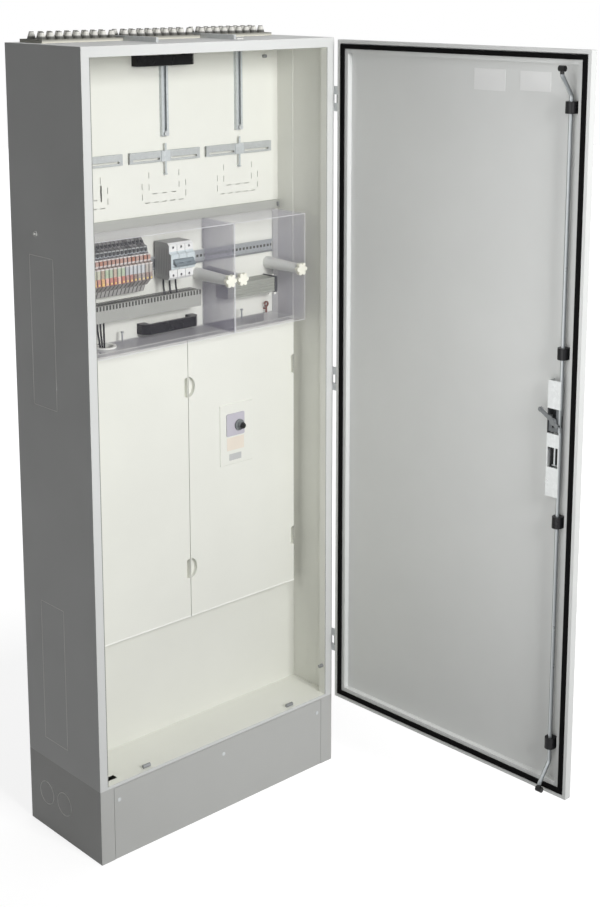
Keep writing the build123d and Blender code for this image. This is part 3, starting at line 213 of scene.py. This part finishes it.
def shell(name, outside, inside):
    """Grey coat outside, the paler cream inside the cabinet."""
    m = Mat(name, 0.42)
    x, y, z = m.split()
    within = m.math("LESS_THAN", m.math("ABSOLUTE", x), 0.3992)
    within = m.math("MULTIPLY", within, m.between(y, -0.1580, 0.1592))
    within = m.math("MULTIPLY", within, m.between(z, 0.2005, 2.0492))
    cloudy = m.ramp(m.noise(3.1, 3.0, 0.6), [(0.3, (0.97,) * 3), (0.7, (1.015,) * 3)])
    tone = m.node("ShaderNodeMix", data_type="RGBA", blend_type="MULTIPLY")
    tone.inputs[0].default_value = 1.0
    m.link(m.mix(within, outside, inside), tone.inputs[6])
    m.link(cloudy, tone.inputs[7])
    m.color(tone.outputs[2])
    m.gloss(0.42, 0.045, 7.3)
    m.bump(m.noise(420.0, 2.0, 0.4), 0.10, 0.0004)
    return m.mat


def rod_lit_and_shaded_colors(name):
    """Zinc-plated rod with a painted highlight along one side and painted shade along the other;
    the roller ends are black.
    """
    m = Mat(name, 0.34, 0.6)
    _, y, z = m.split()
    along = m.math("SUBTRACT", m.math("MULTIPLY", y, -1.0), -HINGE[1] * MM)
    side = m.math("DIVIDE", m.math("SUBTRACT", along, 0.7425), 0.011)
    # Across the rod: painted shade, a painted highlight, then painted shade again.
    tone = m.ramp(side, [(0.0, (0.05, 0.055, 0.06)), (0.30, (0.16, 0.17, 0.18)),
                         (0.45, (0.72, 0.75, 0.76)), (0.62, (0.30, 0.32, 0.33)),
                         (0.85, (0.10, 0.11, 0.115))])
    plated = m.mix(0.25, tone, zinc_color(m, (0.40, 0.42, 0.43), "z"))
    ends = m.math("MAXIMUM", m.math("GREATER_THAN", z, 1.990), m.math("LESS_THAN", z, 0.242))
    m.color(m.mix(ends, plated, (0.012, 0.012, 0.012)))
    m.gloss(0.34, 0.08)
    return m.mat


def plastic(name, rgb, rough=0.45, grain=900.0, strength=0.12, cloud=0.03, spec=0.5):
    """Moulded plastic with a fine spark-eroded grain."""
    m = Mat(name, rough, 0.0, spec)
    m.color(m.ramp(m.noise(9.0, 3.0), [(0.3, tint(rgb, 1 - cloud)), (0.7, tint(rgb, 1 + cloud))]))
    m.gloss(rough, 0.06, 60.0)
    m.bump(m.noise(grain, 1.0), strength, 0.0003)
    return m.mat


def zinc_color(m, rgb, along):
    """Rolling marks along the piece over a soft spangle."""
    stretch = {"x": (4, 260, 260), "z": (260, 260, 4)}[along]
    marks = m.noise(1.0, 3.0, 0.6, m.scaled(*stretch))
    v = m.node("ShaderNodeTexVoronoi")
    v.inputs["Scale"].default_value = 160.0
    m.link(m.coord, v.inputs["Vector"])
    spangle = m.ramp(v.outputs["Color"], [(0.0, tint(rgb, 0.90)), (1.0, tint(rgb, 1.10))])
    m.bump(marks, 0.06, 0.0003)
    return m.mix(m.ramp(marks, [(0.35, (0,) * 3), (0.65, (1,) * 3)]), spangle, tint(rgb, 0.95))


def zinc(name, rgb=(0.62, 0.64, 0.65), rough=0.42, along="z", metal=0.55):
    """Zinc plate: half metal, half the dull passivated film on it."""
    m = Mat(name, rough, metal)
    m.color(zinc_color(m, rgb, along))
    m.gloss(rough, 0.10)
    return m.mat


def foam(name):
    m = Mat(name, 0.9, 0.0, 0.05)
    m.color(m.ramp(m.noise(300.0, 3.0), [(0.3, (0.002,) * 3), (0.7, (0.008,) * 3)]))
    m.bump(m.noise(700.0, 3.0), 0.5, 0.0006)
    return m.mat


def clear_cover(name):
    """Clear moulding: the flat front all but vanishes, the deep side walls show a lilac haze."""
    m = Mat(name, 0.16, 0.0, 0.5)
    facing = m.split(m.source.outputs["Normal"])[1]
    wall = m.math("LESS_THAN", m.math("ABSOLUTE", facing), 0.7)
    y = m.split()[1]
    haze = m.ramp(m.noise(5.0, 3.0, 0.6), [(0.3, (0.70, 0.68, 0.80)), (0.7, (0.80, 0.78, 0.88))])
    m.color(haze)
    depth = m.math("MULTIPLY", m.math("ADD", y, 0.08), 0.7)
    streak = m.math("MULTIPLY", m.noise(1.0, 2.0, 0.5, m.scaled(2, 60, 2)), 0.07)
    thick = m.math("ADD", m.math("ADD", 0.13, depth), streak)
    alpha = m.math("ADD", m.math("MULTIPLY", wall, thick), 0.02, clamp=True)
    m.link(alpha, m.bsdf.inputs["Alpha"])
    return m.mat


def terminal_colors(name):
    """Four levels of terminals: grey bodies with orange, green, tan and red inserts."""
    m = Mat(name, 0.48)
    x, _, z = m.split()
    level = m.math("DIVIDE", m.math("SUBTRACT", z, 1.411), 0.140)
    body = m.ramp(level, [
        (0.0, (0.36, 0.35, 0.33)), (0.14, (0.26, 0.24, 0.22)), (0.25, (0.30, 0.22, 0.18)),
        (0.60, (0.62, 0.56, 0.53)), (0.635, (0.40, 0.19, 0.13)), (0.73, (0.10, 0.10, 0.11)),
        (0.755, (0.52, 0.58, 0.61)), (0.78, (0.11, 0.12, 0.12)), (0.83, (0.34, 0.36, 0.35)),
        (0.85, (0.10, 0.10, 0.10)), (0.91, (0.26, 0.27, 0.26)), (0.93, (0.13, 0.13, 0.125)),
    ], "CONSTANT")
    order = m.math("DIVIDE", m.math("SUBTRACT", BLOCK_RIGHT * MM, x),
                   BLOCK_COUNT * BLOCK_PITCH * MM)
    grey, green, tan = (0.52, 0.54, 0.56), (0.40, 0.49, 0.33), (0.47, 0.36, 0.27)
    upper = m.ramp(order, [
        (0.0, (0.44, 0.40, 0.36)), (0.10, grey), (0.30, (0.36, 0.38, 0.40)), (0.35, green),
        (0.45, tan), (0.50, green), (0.60, (0.42, 0.33, 0.25)), (0.65, (0.50, 0.50, 0.36)),
        (0.75, (0.33, 0.34, 0.33)), (0.80, (0.52, 0.53, 0.38)), (0.90, (0.26, 0.30, 0.33)),
    ], "CONSTANT")
    red, pink, amber = (0.50, 0.13, 0.08), (0.72, 0.38, 0.32), (0.66, 0.38, 0.17)
    lower = m.ramp(order, [
        (0.0, (0.30, 0.21, 0.18)), (0.25, (0.40, 0.14, 0.10)), (0.35, red), (0.40, pink),
        (0.45, red), (0.55, pink), (0.60, amber), (0.65, red), (0.70, amber), (0.75, red),
        (0.80, pink), (0.85, (0.30, 0.06, 0.07)), (0.95, (0.20, 0.04, 0.06)),
    ], "CONSTANT")
    both = m.mix(m.between(z, 1.468, 1.490), body, upper)
    both = m.mix(m.between(z, 1.446, 1.468), both, lower)
    place = m.math("MULTIPLY", order, float(BLOCK_COUNT))
    within = m.math("ABSOLUTE", m.math("SUBTRACT", m.math("FRACT", place), 0.5))
    each = m.node("ShaderNodeTexWhiteNoise", noise_dimensions="1D")
    m.link(m.math("FLOOR", place), each.inputs["W"])
    toned = m.mix(m.math("MULTIPLY", each.outputs["Value"], 0.35), both, (0.55, 0.55, 0.54))
    edge = m.math("MULTIPLY", m.math("GREATER_THAN", within, 0.36), 0.75)
    m.color(m.mix(edge, toned, (0.06, 0.06, 0.06)))
    m.gloss(0.48, 0.06, 60.0)
    m.bump(m.noise(700.0, 1.0), 0.12, 0.0003)
    return m.mat


def breaker_colors(name):
    """Grey sides, white terminal heads above and below, and a pale nose between them."""
    m = Mat(name, 0.42)
    _, y, z = m.split()
    faces_front = m.math("LESS_THAN", m.split(m.source.outputs["Normal"])[1], -0.3)
    head = m.ramp(m.math("SUBTRACT", z, 1.0),
                  [(0.0, (0.74, 0.74, 0.73)), (0.463, (0.56, 0.62, 0.64)),
                   (0.508, (0.74, 0.74, 0.73))], "CONSTANT")
    ribs = m.math("GREATER_THAN", m.math("SINE", m.math("MULTIPLY", y, 900.0)), 0.75)
    side = m.mix(m.math("MULTIPLY", ribs, m.between(z, 1.45, 1.52)),
                 (0.33, 0.33, 0.32), (0.17, 0.17, 0.17))
    m.color(m.mix(faces_front, side, head))
    m.gloss(0.42, 0.05, 60.0)
    m.bump(m.noise(900.0, 1.0), 0.10, 0.0003)
    return m.mat


def slotted_rail(name):
    """Zinc-plated top-hat rail, with a dark hole in its web every 12.5 mm."""
    m = Mat(name, 0.40, 0.5)
    x, _, z = m.split()
    along = m.saw(x, 0.0125)
    hole = m.math("MULTIPLY", m.math("LESS_THAN", along, 0.30), m.between(z, 1.4715, 1.4785))
    metal = zinc_color(m, (0.47, 0.49, 0.50), "x")
    # Painted shade along the lower flange of the rail.
    shaded = m.mix(m.math("LESS_THAN", z, 1.462), metal, (0.30, 0.31, 0.31))
    m.color(m.mix(hole, shaded, (0.12, 0.12, 0.11)))
    m.gloss(0.40, 0.08)
    return m.mat


def fitting_colors(name):
    """Zinc studs and pins; the eye for the wire seal is copper brown."""
    m = Mat(name, 0.38, 0.6)
    x, _, z = m.split()
    eye = m.math("MULTIPLY", m.between(x, 0.30, 0.36), m.between(z, 1.28, 1.33))
    metal = zinc_color(m, (0.34, 0.35, 0.36), "x")
    m.color(m.mix(eye, metal, (0.24, 0.10, 0.08)))
    m.gloss(0.38, 0.08)
    return m.mat


def duct_colors(name):
    """Grey duct with dark wire slots along its upper edge."""
    m = Mat(name, 0.5)
    x, _, z = m.split()
    along = m.saw(x, 0.010)
    slot = m.math("MULTIPLY", m.math("LESS_THAN", along, 0.27), m.between(z, 1.3835, 1.3955))
    tone = m.ramp(m.noise(9.0, 3.0), [(0.3, (0.33, 0.335, 0.31)), (0.7, (0.36, 0.365, 0.34))])
    m.color(m.mix(slot, tone, (0.045, 0.045, 0.04)))
    m.gloss(0.5, 0.06, 60.0)
    m.bump(m.noise(900.0, 1.0), 0.12, 0.0003)
    return m.mat


def membrane_colors(name):
    """Cream moulding; painted shade on the tray between the domes and low on each dome, and a
    dark cut at each tip.
    """
    m = Mat(name, 0.55)
    z = m.split()[2]
    level = m.math("DIVIDE", m.math("SUBTRACT", z, ROOF * MM), 0.026)
    # Painted shade in the dark bands low on each dome; the last dark stop is the cut at the tip.
    dome = m.ramp(level, [(0.0, (0.76, 0.74, 0.65)), (0.36, (0.08, 0.08, 0.07)),
                          (0.52, (0.14, 0.14, 0.13)), (0.64, (0.78, 0.77, 0.72)),
                          (0.90, (0.82, 0.81, 0.76)),
                          (0.985, (0.06, 0.06, 0.055))])
    # Painted shade on the flat tray between the domes.
    flat = m.math("GREATER_THAN", m.split(m.source.outputs["Normal"])[2], 0.9)
    tray = m.math("MULTIPLY", flat, m.between(z, 2.0535, 2.0545))
    m.color(m.mix(tray, dome, (0.045, 0.045, 0.04)))
    m.gloss(0.55, 0.08, 40.0)
    m.bump(m.noise(240.0, 3.0), 0.25, 0.0005)
    return m.mat


def dial_colors(name):
    """Grey barrel with a black front."""
    m = Mat(name, 0.35)
    y = m.split()[1]
    m.color(m.mix(m.math("LESS_THAN", y, -0.0520), (0.20, 0.215, 0.22), (0.008, 0.008, 0.008)))
    m.gloss(0.35, 0.05, 60.0)
    m.bump(m.noise(800.0, 1.0), 0.10, 0.0003)
    return m.mat


GREY = (0.655, 0.665, 0.655)
CREAM = (0.76, 0.765, 0.71)
m_grey = paint("grey_coat", GREY)
m_shell = shell("shell_coat", GREY, CREAM)
m_plinth = paint("plinth_coat", (0.47, 0.475, 0.46))
# A darker copy of the cream coat: painted shade on the recessed back plate.
m_back_shaded = paint("back_plate_shaded_coat", (0.73, 0.735, 0.68), 0.4, 300.0, 0.06)
m_band = paint("cross_rail_coat", (0.40, 0.405, 0.38), 0.4)
m_rod = rod_lit_and_shaded_colors("rod_zinc_painted_light")
m_lock = zinc("lock_zinc", (0.20, 0.21, 0.215), 0.38)
m_cream = paint("cream_coat", CREAM, 0.38, 300.0, 0.06)
m_zinc = zinc("zinc")
m_bright = zinc("bright_zinc", (0.74, 0.76, 0.76), 0.36)
m_cross = zinc("crossbar_zinc", (0.50, 0.52, 0.52), 0.45, "x", 0.25)
m_rail = zinc("meter_rail_zinc", (0.58, 0.61, 0.62), 0.42, "z", 0.30)
m_din = slotted_rail("din_rail_zinc")
m_fit = fitting_colors("small_fittings")
m_black = plastic("black_plastic", (0.006, 0.006, 0.007), 0.30, spec=0.22)
m_dark = plastic("dark_grey_plastic", (0.045, 0.047, 0.05), 0.5)
m_toggle = plastic("toggle_plastic", (0.20, 0.24, 0.26), 0.42)
m_foam = foam("gasket_foam")
m_clear = clear_cover("clear_cover")
m_duct = duct_colors("duct_colors")
m_trunk = plastic("trunk_plastic", (0.30, 0.31, 0.275), 0.5)
m_creamplastic = plastic("cream_plastic", (0.62, 0.61, 0.55), 0.42)
m_post = plastic("post_plastic", (0.72, 0.725, 0.70), 0.42)
m_knob = plastic("knob_plastic", (0.82, 0.81, 0.72), 0.35)
m_white = plastic("white_plastic", (0.80, 0.80, 0.76), 0.35)
m_lilac = plastic("lilac_plastic", (0.52, 0.50, 0.56), 0.40)
m_peach = plastic("peach_label", (0.76, 0.69, 0.60), 0.55)
m_label = plastic("label_grey", (0.50, 0.505, 0.505), 0.5)
m_plate = plastic("door_label", (0.74, 0.745, 0.74), 0.4)
# Painted highlight for the lower lips of the cover plates.
m_lip_highlight = paint("plate_lip", (0.90, 0.90, 0.86), 0.3)
# Painted shade for the gaps and the front frame's inner edges.
m_gap_shade = paint("shadow_gap", (0.30, 0.30, 0.28), 0.6)
# Painted highlight along the edges of the clear covers.
m_cover_edge_highlight = plastic("cover_edge", (0.72, 0.72, 0.74), 0.25)
m_tag = plastic("marker_tag", (0.66, 0.62, 0.60), 0.5)
m_yellow = plastic("marker_dot", (0.75, 0.60, 0.16), 0.4)
# Painted highlight on the score lines.
m_score_highlight = paint("score_line_highlight", (1.0, 1.0, 0.96), 0.5)
m_terminals = terminal_colors("terminal_colors")
m_breaker = breaker_colors("breaker_colors")
m_membrane = membrane_colors("membrane_colors")
m_dial = dial_colors("dial_colors")


def dress(material, *names):
    for n in names:
        slots = nodes[n].data.materials
        slots.clear()
        slots.append(material)


dress(m_shell, "left_wall", "right_wall", "rear_wall", "roof", "front_frame")
dress(m_grey, "door_panel", "door_stiffener", "door_handle", "handle_dish")
dress(m_plinth, "plinth_frame", "plinth_panel")
dress(m_cream, "floor_plate", "mounting_rails", "meter_panel", "terminal_panel",
      "cover_plate_left", "cover_plate_right", "switch_plate")
dress(m_back_shaded, "back_plate")
dress(m_band, "cross_rail")
dress(m_rod, "upper_rod", "lower_rod")
dress(m_lock, "lock_cam", "door_hinges")
dress(m_zinc, "plinth_screws", "frame_hinges", "meter_hook_1", "meter_hook_2", "meter_hook_3",
      "entry_clamps")
dress(m_bright, "lock_cover")
dress(m_cross, "crossbars")
dress(m_rail, "meter_rails", "centre_strips")
dress(m_din, "din_rail")
dress(m_fit, "small_fittings")
dress(m_black, "pull_handles", "rod_guides", "wires")
dress(m_dark, "lock_case", "trunk_end")
dress(m_post, "side_plug")
dress(m_toggle, "breaker_toggle")
dress(m_foam, "door_gasket")
dress(m_clear, "cover_left", "cover_right")
dress(m_breaker, "breaker_body")
dress(m_duct, "wiring_duct")
dress(m_trunk, "trunk_cover")
dress(m_creamplastic, "end_clamp")
dress(m_post, "cover_posts")
dress(m_membrane, "entry_plates")
dress(m_knob, "thumb_knob_1", "thumb_knob_2", "thumb_knob_3", "thumb_knob_4")
dress(m_white, "cable_grommet")
dress(m_lilac, "switch_escutcheon")
dress(m_dial, "switch_knob")
dress(m_terminals, "terminal_blocks")


# Planes that the small pieces are drawn in: inside of the door, front, two sides and roof
door_x = Vector((-math.cos(DOOR_ANGLE), -math.sin(DOOR_ANGLE), 0))
door_in = Vector((-math.sin(DOOR_ANGLE), math.cos(DOOR_ANGLE), 0))
DOOR = Matrix(((door_x.x, 0, door_in.x, HINGE[0] * MM), (door_x.y, 0, door_in.y, HINGE[1] * MM),
               (0, 1, 0, 0), (0, 0, 0, 1)))
FRONT = Matrix(((1, 0, 0, 0), (0, 0, -1, 0), (0, 1, 0, 0), (0, 0, 0, 1)))
LEFT = Matrix(((0, 0, -1, 0), (-1, 0, 0, 0), (0, 1, 0, 0), (0, 0, 0, 1)))
RIGHT = Matrix(((0, 0, 1, 0), (1, 0, 0, 0), (0, 1, 0, 0), (0, 0, 0, 1)))
UP = Matrix.Identity(4)


def block(bm, low, high, bevel=0.0):
    """Box between two corners in millimetres, with rounded edges."""
    verts = bmesh.ops.create_cube(bm, size=1.0)["verts"]
    size = [(b - a) * MM for a, b in zip(low, high)]
    mid = [(a + b) / 2 * MM for a, b in zip(low, high)]
    bmesh.ops.scale(bm, vec=size, verts=verts)
    bmesh.ops.translate(bm, vec=mid, verts=verts)
    if bevel:
        edges = list({e for v in verts for e in v.link_edges})
        bmesh.ops.bevel(bm, geom=edges, offset=bevel * MM, segments=2, affect="EDGES")


def screw(bm, x, y, z, radius, height):
    """Domed screw head with a round pit in its top, standing on level z."""
    rings = ((1.0, 0.0), (1.0, 0.45), (0.86, 0.85), (0.45, 1.0))
    around = 20
    loops = []
    for r, h in rings:
        loops.append([bm.verts.new(((x + radius * r * math.cos(2 * math.pi * k / around)) * MM,
                                    (y + radius * r * math.sin(2 * math.pi * k / around)) * MM,
                                    (z + height * h) * MM)) for k in range(around)])
    for a, b in zip(loops, loops[1:]):
        for k in range(around):
            bm.faces.new((a[k], a[(k + 1) % around], b[(k + 1) % around], b[k]))
    pit = bm.verts.new((x * MM, y * MM, (z + height * 0.55) * MM))
    for k in range(around):
        bm.faces.new((loops[-1][k], loops[-1][(k + 1) % around], pit))


def ring(bm, x, y, radius, width, low, high, around=48):
    """Flat ring in the plane, from level low to level high."""
    loops = []
    for r, z in ((radius - width, low), (radius - width, high), (radius, high), (radius, low)):
        loops.append([bm.verts.new(((x + r * math.cos(2 * math.pi * k / around)) * MM,
                                    (y + r * math.sin(2 * math.pi * k / around)) * MM, z * MM))
                      for k in range(around)])
    for a, b in zip(loops, loops[1:] + loops[:1]):
        for k in range(around):
            bm.faces.new((a[k], a[(k + 1) % around], b[(k + 1) % around], b[k]))


def piece(name, body, material, matrix, *parts):
    """One object from several small shapes, turned into its plane and riding on a body."""
    bm = bmesh.new()
    for make, args in parts:
        make(bm, *args)
    bmesh.ops.transform(bm, matrix=matrix, verts=bm.verts)
    bmesh.ops.recalc_face_normals(bm, faces=bm.faces)
    mesh = bpy.data.meshes.new(name)
    bm.to_mesh(mesh)
    bm.free()
    mesh.materials.append(material)
    obj = bpy.data.objects.new(name, mesh)
    bpy.context.scene.collection.objects.link(obj)
    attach(obj, body)
    return obj


def boxes(*corners, bevel=0.3):
    return [(block, (low, high, bevel)) for low, high in corners]


# Bare label plates inside the door, on the switch and over the lock
piece("door_label_left", "door", m_plate, DOOR,
      *boxes(((450, 1938, DOOR_SKIN - 0.1), (545, 1990, DOOR_SKIN + 0.6))))
piece("door_label_right", "door", m_plate, DOOR,
      *boxes(((589, 1943, DOOR_SKIN - 0.1), (678, 1989, DOOR_SKIN + 0.6))))
piece("switch_label", "cabinet", m_peach, FRONT,
      *boxes(((128, 948, SWITCH_FACE - 0.1), (188, 984, SWITCH_FACE + 0.4))))
piece("switch_name_plate", "cabinet", m_label, FRONT,
      *boxes(((136, 920, SWITCH_FACE - 0.1), (178, 938, SWITCH_FACE + 0.6))))

# Painted highlight along the edges of the scored knock-outs and round the plinth holes
def frame_strips(x0, x1, z0, z1, width, low, high):
    return boxes(((x0, z0, low), (x0 + width, z1, high)), ((x1 - width, z0, low), (x1, z1, high)),
                 ((x0, z0, low), (x1, z0 + width, high)), ((x0, z1 - width, low), (x1, z1, high)),
                 bevel=0.0)


for side, matrix, turn in (("left", LEFT, -1), ("right", RIGHT, 1)):
    near, far = sorted(turn * y for y in KNOCKOUT_Y)
    score_highlights = []
    for low, high in KNOCKOUTS:
        score_highlights += frame_strips(near, far, low, high, SCORE_WIDTH, SIDE - 0.3, SIDE + 0.25)
    for y in PLINTH_HOLES_Y:
        score_highlights.append((ring, (turn * y, PLINTH_HOLES_Z, 32.0, 2.4, SIDE - 0.3, SIDE + 0.35)))
    piece(f"score_edge_highlights_{side}", "cabinet", m_score_highlight, matrix, *score_highlights)

# Painted highlight on the lower lips of the two cover plates, and painted shade in the gap beside
# and between them
piece("plate_lip_highlights", "cabinet", m_lip_highlight, FRONT,
      *boxes(((-375, PLATE_LOW, 27), (-1, 515.5, PLATE_FACE + 0.4)),
             ((1, PLATE_LOW, 27), (375, 515.5, PLATE_FACE + 0.4))))
piece("plate_shadow_gap", "cabinet", m_gap_shade, FRONT,
      *boxes(((373.5, 516, 26), (375.2, PLATE_HIGH, PLATE_FACE + 0.2)),
             ((-0.8, 516, 24), (0.8, PLATE_HIGH, 27.5))))

# Painted shade: a dark line along the inner edges of the front frame
piece("frame_inner_shade", "cabinet", m_gap_shade, FRONT,
      *boxes(((-377, OPENING_LOW, FRAME_FACE - 0.4), (-374.9, OPENING_HIGH, FRAME_FACE + 0.3)),
             ((374.9, OPENING_LOW, FRAME_FACE - 0.4), (376, OPENING_HIGH, FRAME_FACE + 0.3))))

# Painted highlight along the moulded edges of the clear covers
for n, (x0, x1) in enumerate(COVER_EDGES):
    piece(f"cover_edge_highlights_{n + 1}", "cabinet", m_cover_edge_highlight, FRONT,
          *frame_strips(x0, x1, COVER_LOW, COVER_HIGH, 1.3, COVER_FACE - 0.4, COVER_FACE + 0.3))

# Terminal row: levers, wire entries and marker dots, one set on each block
levers, entries, dots, tags = [], [], [], []
for k in range(BLOCK_COUNT):
    x = BLOCK_RIGHT - 6.4 - BLOCK_PITCH * k
    levers += boxes(((x - 4.6, 1449, 4.5), (x + 4.6, 1466, 7.2)),
                    ((x - 4.6, 1497, -4.2), (x + 4.6, 1510.5, -0.5)),
                    ((x - 4.2, 1471, 4.6), (x + 4.2, 1487, 6.0)), bevel=0.8)
    entries += boxes(((x - 3.2, 1518, -18.4), (x + 3.2, 1528, -14.6)),
                     ((x - 3.2, 1536.5, -35.0), (x + 3.2, 1545.0, -30.0)), bevel=0.5)
    tags += boxes(((x - 5.2, 1511.4, -5.0), (x + 5.2, 1514.6, -2.0)),
                  ((x - 5.2, 1489.0, 4.6), (x + 5.2, 1492.4, 6.6)), bevel=0.4)
    dots.append((screw, (x, 1453.5, 7.1, 2.3, 1.0)))
piece("terminal_levers", "cabinet", m_terminals, FRONT, *levers)
piece("terminal_entries", "cabinet", m_dark, FRONT, *entries)
piece("terminal_tags", "cabinet", m_tag, FRONT, *tags)
piece("terminal_dots", "cabinet", m_yellow, FRONT, *dots)

# Breaker: clamp screws down their holes
piece("breaker_screws", "cabinet", m_fit, FRONT,
      *[(screw, (x, z, 4.0, 3.2, 1.8)) for x in BREAKER_POLES for z in BREAKER_SCREWS])

# Trunk cover: small white clips by its end
piece("trunk_clips", "cabinet", m_white, FRONT,
      *boxes(((331, 1399, -14), (336, 1403, -8)), ((334, 1346, -14), (342, 1351.5, -6)),
             ((318, 1348, -14), (322, 1351.5, -8)), bevel=0.8))

# Lock window: a black sheet inside it as painted shade, with a bright bar standing in it
piece("lock_window_shade", "door", m_black, DOOR, *boxes(((717, 1048, -8), (742, 1102, 1.0))))
piece("lock_window_bar", "door", m_bright, DOOR,
      *boxes(((728, 1052, 1.0), (732, 1099, 3.4)), ((722, 1050, 1.0), (741, 1053, 2.6))))

# White pad on the roof by the second clamp
piece("roof_pad", "cabinet", m_white, UP,
      *boxes(((136, -79, ROOF - 0.2), (158, -62, ROOF + 2.0)), bevel=0.6))


def floor_color(m):
    """Plain pale floor: white as seen in the picture, ordinary pale grey for its light."""
    m.color((0.36, 0.36, 0.36))
    path = m.node("ShaderNodeLightPath")
    seen = m.math("MAXIMUM", path.outputs["Is Camera Ray"], path.outputs["Is Transmission Ray"])
    seen = m.math("MAXIMUM", seen, path.outputs["Is Glossy Ray"])
    x, y, _ = m.split()
    away = m.math("SQRT", m.math("ADD", m.math("MULTIPLY", x, x), m.math("MULTIPLY", y, y)))
    glow = m.ramp(m.math("DIVIDE", away, 4.0), [(0.25, (0.80,) * 3), (0.50, (1.0,) * 3)])
    m.bsdf.inputs["Emission Color"].default_value = (1, 1, 1, 1)
    m.link(m.math("MULTIPLY", seen, glow), m.bsdf.inputs["Emission Strength"])


def add_floor():
    mesh = bpy.data.meshes.new("floor")
    s = 14.0
    mesh.from_pydata([(-s, -s, 0), (s, -s, 0), (s, s, 0), (-s, s, 0)], [], [(0, 1, 2, 3)])
    floor = bpy.data.objects.new("floor", mesh)
    bpy.context.scene.collection.objects.link(floor)
    m = Mat("floor_white", 0.8, 0.0, 0.1)
    floor_color(m)
    mesh.materials.append(m.mat)


def add_world():
    """Soft light from the right and from above, little from the left; white where it is seen."""
    world = bpy.data.worlds.new("studio")
    bpy.context.scene.world = world
    world.use_nodes = True
    tree = world.node_tree
    tree.nodes.clear()
    out = tree.nodes.new("ShaderNodeOutputWorld")
    back = tree.nodes.new("ShaderNodeBackground")
    coord = tree.nodes.new("ShaderNodeTexCoord")
    split = tree.nodes.new("ShaderNodeSeparateXYZ")
    reach = tree.nodes.new("ShaderNodeMapRange")
    tree.links.new(coord.outputs["Generated"], split.inputs[0])
    tree.links.new(split.outputs["X"], reach.inputs["Value"])
    reach.inputs["From Min"].default_value = -0.45
    reach.inputs["From Max"].default_value = 0.35
    reach.inputs["To Min"].default_value = 0.02
    reach.inputs["To Max"].default_value = 0.55
    path = tree.nodes.new("ShaderNodeLightPath")
    seen = path.outputs["Is Camera Ray"]
    for other in ("Is Transmission Ray", "Is Glossy Ray"):
        either = tree.nodes.new("ShaderNodeMath")
        either.operation = "MAXIMUM"
        tree.links.new(seen, either.inputs[0])
        tree.links.new(path.outputs[other], either.inputs[1])
        seen = either.outputs[0]
    top = tree.nodes.new("ShaderNodeMath")
    top.operation = "MAXIMUM"
    tree.links.new(reach.outputs["Result"], top.inputs[0])
    tree.links.new(seen, top.inputs[1])
    tree.links.new(top.outputs[0], back.inputs["Strength"])
    back.inputs["Color"].default_value = (1, 1, 1, 1)
    tree.links.new(back.outputs[0], out.inputs[0])


def area(name, place, target, size, power):
    data = bpy.data.lights.new(name, "AREA")
    data.shape = "RECTANGLE"
    data.size, data.size_y = size
    data.energy = power
    lamp = bpy.data.objects.new(name, data)
    bpy.context.scene.collection.objects.link(lamp)
    lamp.location = place
    aim = Vector(target) - Vector(place)
    lamp.rotation_euler = aim.to_track_quat("-Z", "Y").to_euler()
    lamp.visible_camera = False


add_floor()
add_world()
area("key", (-0.25, -4.2, 2.9), (0.0, 0.0, 1.3), (1.4, 1.4), 134)
area("door_fill", (-0.39, -1.2, 1.5), (0.45, -1.0, 1.45), (0.7, 1.9), 8.6)

bpy.context.scene.view_settings.view_transform = "Standard"

bpy.context.view_layer.update()
